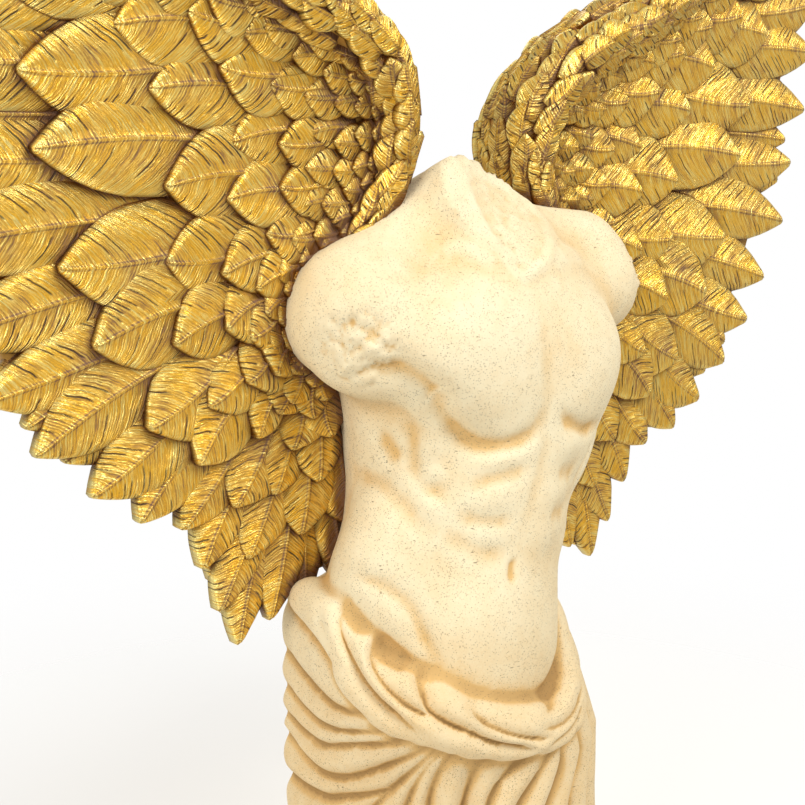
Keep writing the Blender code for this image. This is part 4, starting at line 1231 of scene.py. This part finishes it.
def feather_finish(look):
    """Moulded resin in gold paint, brown wash wiped off the barbs and edges and left in the recesses, with
    painted highlight on barbs and edges and painted shade in the recesses and slits.
    """
    mat, tree, shader, made = new_finish(
        "moulded_resin_gold_paint_feathers", look, ("bright", "gold", "deep", "wash", "slit"))
    add_all(tree, made, (
        ("map", "UVMap", {"uv_map": "feather_map"}, {}),
        ("spot", "SeparateXYZ", {}, {"Vector": "map"}),
        ("sizes", "Attribute", {"attribute_name": "size"}, {}),
        ("size", "SeparateXYZ", {}, {"Vector": "sizes.Vector"}),
        ("tone", "Attribute", {"attribute_name": "tone"}, {}),
        ("edge", "Attribute", {"attribute_name": "edge"}, {}),
        # Where on its feather a place lies: aside from the quill, out from it and along it, in millimetres
        ("wide", "Math", TIMES, {0: "size.X", 1: 1.0 / MILLIMETRE}),
        ("long", "Math", TIMES, {0: "size.Y", 1: 1.0 / MILLIMETRE}),
        ("aside", "Math", MINUS, {0: "spot.X", 1: 0.5}),
        ("aside", "Math", TIMES, {0: "aside", 1: "wide"}),
        ("out", "Math", SIZE_OF, {0: "aside"}),
        ("half", "Math", TIMES, {0: "wide", 1: 0.5}),
        ("share_out", "Math", OVER, {0: "out", 1: "half"}),
        ("along", "Math", TIMES, {0: "spot.Y", 1: "long"}),
        # The barbs run outwards and on towards the tip, a little unevenly. They are 2.7 mm apart, wider
        # than in a real feather, so that they show.
        ("drift", "TexNoise", {}, {"Vector": "place", "Scale": 55.0, "Detail": 2.0}),
        ("lean", "Math", TIMES, {0: "out", 1: -0.42}),
        ("squared", "Math", TIMES, {0: "out", 1: "out"}),
        ("lean", "Math", TIMES_PLUS, {0: "squared", 1: -0.016, 2: "lean"}),
        ("line", "Math", PLUS, {0: "along", 1: "lean"}),
        ("line", "Math", TIMES_PLUS, {0: "drift", 1: 5.0, 2: "line"}),
        ("turn", "Math", TIMES, {0: "line", 1: 2.0 * math.pi * MILLIMETRE / look.barb}),
        ("wave", "Math", {"operation": "SINE"}, {0: "turn"}),
        ("streak_x", "Math", TIMES, {0: "line", 1: 0.42}),
        ("streak_y", "Math", TIMES, {0: "aside", 1: 0.05}),
        ("streak_z", "Math", TIMES, {0: "tone.Fac", 1: 40.0}),
        ("streak", "CombineXYZ", {}, {"X": "streak_x", "Y": "streak_y", "Z": "streak_z"}),
        ("streak", "TexNoise", {}, {"Vector": "streak", "Scale": 1.0, "Detail": 3.0, "Roughness": 0.7}),
        ("barb", "Math", TIMES_PLUS, {0: "streak", 1: 3.0, 2: -1.0}),
        ("barb", "Math", TIMES_PLUS, {0: "wave", 1: 0.16, 2: "barb"}),
        # Short dark slits between barbs, drawn about 1.5 mm wide so that they show
        ("cells", "Math", OVER, {0: "line", 1: SLIT_PITCH}),
        ("cell", "Math", {"operation": "FLOOR"}, {0: "cells"}),
        ("side", "Math", {"operation": "SIGN"}, {0: "aside"}),
        ("seed_z", "Math", TIMES, {0: "tone.Fac", 1: 53.0}),
        ("seed", "CombineXYZ", {}, {"X": "cell", "Y": "side", "Z": "seed_z"}),
        ("chance", "TexWhiteNoise", {}, {"Vector": "seed"}),
        ("chance", "SeparateColor", {}, {"Color": "chance.Color"}),
        ("cells", "Math", {"operation": "FRACT"}, {0: "cells"}),
        ("cells", "Math", MINUS, {0: "cells", 1: 0.5}),
        ("cells", "Math", SIZE_OF, {0: "cells"}),
        ("thin", "MapRange", {}, {"Value": "cells", 1: 0.06, 2: 0.17, 3: 1.0, 4: 0.0}),
        ("middle", "Math", TIMES_PLUS, {0: "chance.Green", 1: 0.5, 2: 0.35}),
        ("within", "Math", MINUS, {0: "share_out", 1: "middle"}),
        ("within", "Math", SIZE_OF, {0: "within"}),
        ("within", "MapRange", {}, {"Value": "within", 1: 0.20, 2: 0.28, 3: 1.0, 4: 0.0}),
        ("picked", "Math", MORE_THAN, {0: "chance.Red", 1: 0.5}),
        ("gap", "Math", TIMES, {0: "thin", 1: "within"}),
        ("gap", "Math", TIMES, {0: "gap", 1: "picked"}),
        # The grooves beside the quill
        ("groove", "Math", MINUS, {0: "out", 1: 1.7}),
        ("groove", "Math", SIZE_OF, {0: "groove"}),
        ("groove", "MapRange", {}, {"Value": "groove", 1: 0.2, 2: 1.1, 3: 1.0, 4: 0.0}),
        # Brown wash: in recesses, slits and grooves and between barbs, in patches of 26 mm with a grain of
        # 1.4 mm, but wiped off the edges
        ("shade", "AmbientOcclusion", {"samples": 6}, {"Distance": 0.014}),
        ("low", "Math", MINUS, {0: 1.0, 1: "shade.AO"}),
        ("patch", "TexNoise", {}, {"Vector": "place", "Scale": 38.0, "Detail": 4.0}),
        ("fine", "TexNoise", {}, {"Vector": "place", "Scale": 700.0, "Detail": 2.0}),
        ("brown", "Math", TIMES_PLUS, {0: "low", 1: 0.9, 2: WASH_LEVEL}),
        ("brown", "Math", TIMES_PLUS, {0: "gap", 1: 0.8, 2: "brown"}),
        ("brown", "Math", TIMES_PLUS, {0: "groove", 1: 0.5, 2: "brown"}),
        ("brown", "Math", TIMES_PLUS, {0: "barb", 1: -1.1, 2: "brown"}),
        ("brown", "Math", TIMES_PLUS, {0: "patch", 1: 1.9, 2: "brown"}),
        ("brown", "Math", TIMES_PLUS, {0: "fine", 1: 0.3, 2: "brown"}),
        ("brown", "Math", TIMES_PLUS_CLAMPED, {0: "edge.Fac", 1: -0.9, 2: "brown"}),
        # Gold: painted highlight on barbs and edges, which are also rubbed clear of the wash; painted shade
        # in the recesses, a little deeper on some feathers than others
        ("lit", "Math", TIMES_PLUS, {0: "barb", 1: 1.5, 2: -0.6}),
        ("lit", "Math", TIMES_PLUS_CLAMPED, {0: "edge.Fac", 1: 0.8, 2: "lit"}),
        ("colour", "Mix", COLOURS, {"Factor": "lit", 6: "gold", 7: "bright"}),
        # Painted shade: the recesses that the ambient occlusion finds, and a little each feather's tone, mix
        # in the deep gold
        ("gold_shade_and_tone", "Math", TIMES_PLUS, {0: "low", 1: 2.6, 2: -0.15}),
        ("gold_shade_and_tone", "Math", TIMES_PLUS_CLAMPED, {0: "tone.Fac", 1: 0.2, 2: "gold_shade_and_tone"}),
        ("colour", "Mix", COLOURS, {"Factor": "gold_shade_and_tone", 6: "colour", 7: "deep"}),
        ("colour", "Mix", COLOURS, {"Factor": "brown", 6: "colour", 7: "wash"}),
        # Painted shade at the bottom of the slits, over the brown wash that lies in them
        ("cut", "Math", TIMES, {0: "gap", 1: 0.8}),
        ("colour", "Mix", COLOURS, {"Factor": "cut", 6: "colour", 7: "slit"}),
        ("metal", "MapRange", {}, {"Value": "brown", 1: 0.0, 2: 0.8, 3: 0.72, 4: 0.1}),
        ("rough", "MapRange", {}, {"Value": "brown", 1: 0.0, 2: 0.8, 3: 0.28, 4: 0.65}),
        ("height", "Math", TIMES_PLUS, {0: "gap", 1: -1.6, 2: "barb"}),
        ("bump", "Bump", {}, {"Strength": 0.9, "Distance": 0.0010, "Height": "height"})))
    for name, key in (
            ("Base Color", "colour"), ("Metallic", "metal"), ("Roughness", "rough"), ("Normal", "bump")):
        tree.links.new(made[key], shader.inputs[name])
    return mat


def bed_finish(look):
    """The bed and backs of the wings, where the brown wash was left thick: one dull, even brown-gold."""
    mat, tree, shader, made = new_finish("moulded_resin_brown_wash", look, ("gold", "wash"))
    # The patches where more of the gold shows through are 40 mm wide
    add_all(tree, made, (
        ("patch", "TexNoise", {}, {"Vector": "place", "Scale": 25.0, "Detail": 6.0}),
        ("worn", "MapRange", {}, {"Value": "patch", 1: 0.3, 2: 0.7, 3: 0.22, 4: 0.46}),
        ("colour", "Mix", COLOURS, {"Factor": "worn", 6: "wash", 7: "gold"}),
        ("bump", "Bump", {}, {"Strength": 0.4, "Distance": 0.001, "Height": "patch"})))
    for name, key in (("Base Color", "colour"), ("Metallic", "worn"), ("Normal", "bump")):
        tree.links.new(made[key], shader.inputs[name])
    shader.inputs["Roughness"].default_value = 0.5
    return mat


def dress(obj, node):
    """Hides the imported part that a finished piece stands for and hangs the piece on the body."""
    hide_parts(node)
    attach(obj, BODY)


class SCULPTURE_OT_torso(bpy.types.Operator):
    """Carve the stone torso with its cloth"""

    bl_idname = "sculpture.torso"
    bl_label = "Carve Torso"

    def execute(self, context):
        look = context.scene.sculpture_stone
        obj = stone_torso(look.step, stone_finish(look))
        if len(obj.data.polygons) == 0:
            raise RuntimeError("the torso has no faces")
        dress(obj, "torso_with_drape")
        return {"FINISHED"}


class SCULPTURE_OT_wings(bpy.types.Operator):
    """Lay the feathers of both wings"""

    bl_idname = "sculpture.wings"
    bl_label = "Lay Wings"

    def execute(self, context):
        look = context.scene.sculpture_gold
        bed = bed_finish(look)
        pieces = [wing_bed(), wing_rim()]
        for piece in pieces:
            piece.data.materials.clear()
            piece.data.materials.append(bed)
            piece.data.shade_smooth()
        feathers = wing_feathers(context.scene.sculpture_feathers, feather_finish(look))
        if len(feathers.data.polygons) == 0:
            raise RuntimeError("no feather was laid")
        right = join_meshes("right_wing_gilded", [feathers] + pieces)
        left = mirrored(right, "left_wing_gilded")
        dress(right, "right_wing")
        dress(left, "left_wing")
        return {"FINISHED"}


def studio_light(name, azimuth, elevation, distance, size, power):
    """A soft square light that looks at the sculpture."""
    a = math.radians(azimuth)
    e = math.radians(elevation)
    back = Vector((math.sin(a) * math.cos(e), -math.cos(a) * math.cos(e), math.sin(e)))
    data = bpy.data.lights.new(name, "AREA")
    data.energy = power
    data.size = size
    lamp = bpy.data.objects.new(name, data)
    lamp.location = back * distance
    lamp.rotation_euler = back.to_track_quat("Z", "Y").to_euler()
    bpy.context.scene.collection.objects.link(lamp)


class SCULPTURE_OT_stage(bpy.types.Operator):
    """Set the camera, the pale floor and the studio light"""

    bl_idname = "sculpture.stage"
    bl_label = "Set Stage"

    def execute(self, context):
        light = context.scene.sculpture_studio
        self.camera(context)
        self.floor(light)
        self.room(context, light)
        for name, azimuth, elevation, distance, size, power in LIGHTS:
            studio_light(name, azimuth, elevation, distance, size, getattr(light, power))
        return {"FINISHED"}

    def camera(self, context):
        """The photograph's viewing angle."""
        a = math.radians(CAMERA_AZIMUTH)
        e = math.radians(CAMERA_ELEVATION)
        back = Vector((math.sin(a) * math.cos(e), -math.cos(a) * math.cos(e), math.sin(e)))
        data = bpy.data.cameras.new("photo_camera")
        data.lens = CAMERA_LENS
        eye = bpy.data.objects.new("photo_camera", data)
        eye.location = Vector(CAMERA_TARGET) + back * CAMERA_DISTANCE
        eye.rotation_euler = back.to_track_quat("Z", "Y").to_euler()
        context.scene.collection.objects.link(eye)
        context.scene.camera = eye

    def floor(self, light):
        """A round studio floor that thins out to nothing, so no horizon shows."""
        bm = bmesh.new()
        bmesh.ops.create_circle(bm, cap_ends=True, segments=96, radius=FLOOR_RADIUS)
        floor = add_object("studio_floor", bm)
        floor.data.transform(Matrix.Translation((0, 0, TORSO_LOW.z - FLOOR_GAP)))
        mat = bpy.data.materials.new("matt_studio_paper")
        mat.use_nodes = True
        tree = mat.node_tree
        shader = tree.nodes["Principled BSDF"]
        shader.inputs["Base Color"].default_value = (*light.floor, 1)
        shader.inputs["Roughness"].default_value = 0.9
        place = add(tree, "ShaderNodeTexCoord").outputs["Object"]
        flat = add(tree, "ShaderNodeVectorMath", {0: place, 1: (1, 1, 0)}, operation="MULTIPLY")
        away = add(tree, "ShaderNodeVectorMath", {0: flat.outputs[0]}, operation="LENGTH").outputs["Value"]
        thin = add(tree, "ShaderNodeMapRange", {
            "Value": away, 1: 0.1, 2: 1.5, 3: 0.8, 4: 0.0}, interpolation_type="SMOOTHSTEP").outputs[0]
        tree.links.new(thin, shader.inputs["Alpha"])
        floor.data.materials.append(mat)

    def room(self, context, light):
        """Even pale light all round, and white where the camera sees past the floor."""
        world = bpy.data.worlds.new("studio_room")
        context.scene.world = world
        world.use_nodes = True
        tree = world.node_tree
        even = tree.nodes["Background"]
        even.inputs["Color"].default_value = (*linear(ROOM_COLOUR), 1)
        even.inputs["Strength"].default_value = light.room
        white = add(tree, "ShaderNodeBackground", {"Color": (1, 1, 1, 1), "Strength": 1.0})
        seen = add(tree, "ShaderNodeLightPath").outputs["Is Camera Ray"]
        mixed = add(tree, "ShaderNodeMixShader", {0: seen, 1: even.outputs[0], 2: white.outputs[0]})
        tree.links.new(mixed.outputs[0], tree.nodes["World Output"].inputs["Surface"])
        context.scene.view_settings.view_transform = "Standard"


class SCULPTURE_PT_panel(bpy.types.Panel):
    bl_idname = "SCULPTURE_PT_panel"
    bl_label = "Winged Wall Sculpture"
    bl_space_type = "VIEW_3D"
    bl_region_type = "UI"
    bl_category = "Sculpture"

    def draw(self, context):
        layout = self.layout
        scene = context.scene
        for group, names in (
                (scene.sculpture_stone, ("light", "warm_tone_and_shade", "crease", "speck", "step")),
                (scene.sculpture_gold, ("bright", "gold", "deep", "wash", "slit", "barb")),
                (scene.sculpture_feathers, ("thickness", "overlap", "ruffle", "seed")),
                (scene.sculpture_studio, ("floor", "key", "fill", "back", "room"))):
            box = layout.box()
            for name in names:
                box.prop(group, name)
        for step in (SCULPTURE_OT_torso, SCULPTURE_OT_wings, SCULPTURE_OT_stage):
            layout.operator(step.bl_idname)


CLASSES = (
    StoneFinish, GoldFinish, FeatherSizes, StudioLight,
    SCULPTURE_OT_torso, SCULPTURE_OT_wings, SCULPTURE_OT_stage, SCULPTURE_PT_panel,
)
GROUPS = (
    ("sculpture_stone", StoneFinish), ("sculpture_gold", GoldFinish),
    ("sculpture_feathers", FeatherSizes), ("sculpture_studio", StudioLight),
)


def register():
    for cls in CLASSES:
        bpy.utils.register_class(cls)
    for name, group in GROUPS:
        setattr(bpy.types.Scene, name, PointerProperty(type=group))


def unregister():
    for name, _ in GROUPS:
        delattr(bpy.types.Scene, name)
    for cls in reversed(CLASSES):
        bpy.utils.unregister_class(cls)


def main():
    """Makes the sculpture and its stage."""
    register()
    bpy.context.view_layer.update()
    bpy.ops.sculpture.torso()
    bpy.ops.sculpture.wings()
    bpy.ops.sculpture.stage()


if __name__ == "__main__":
    main()
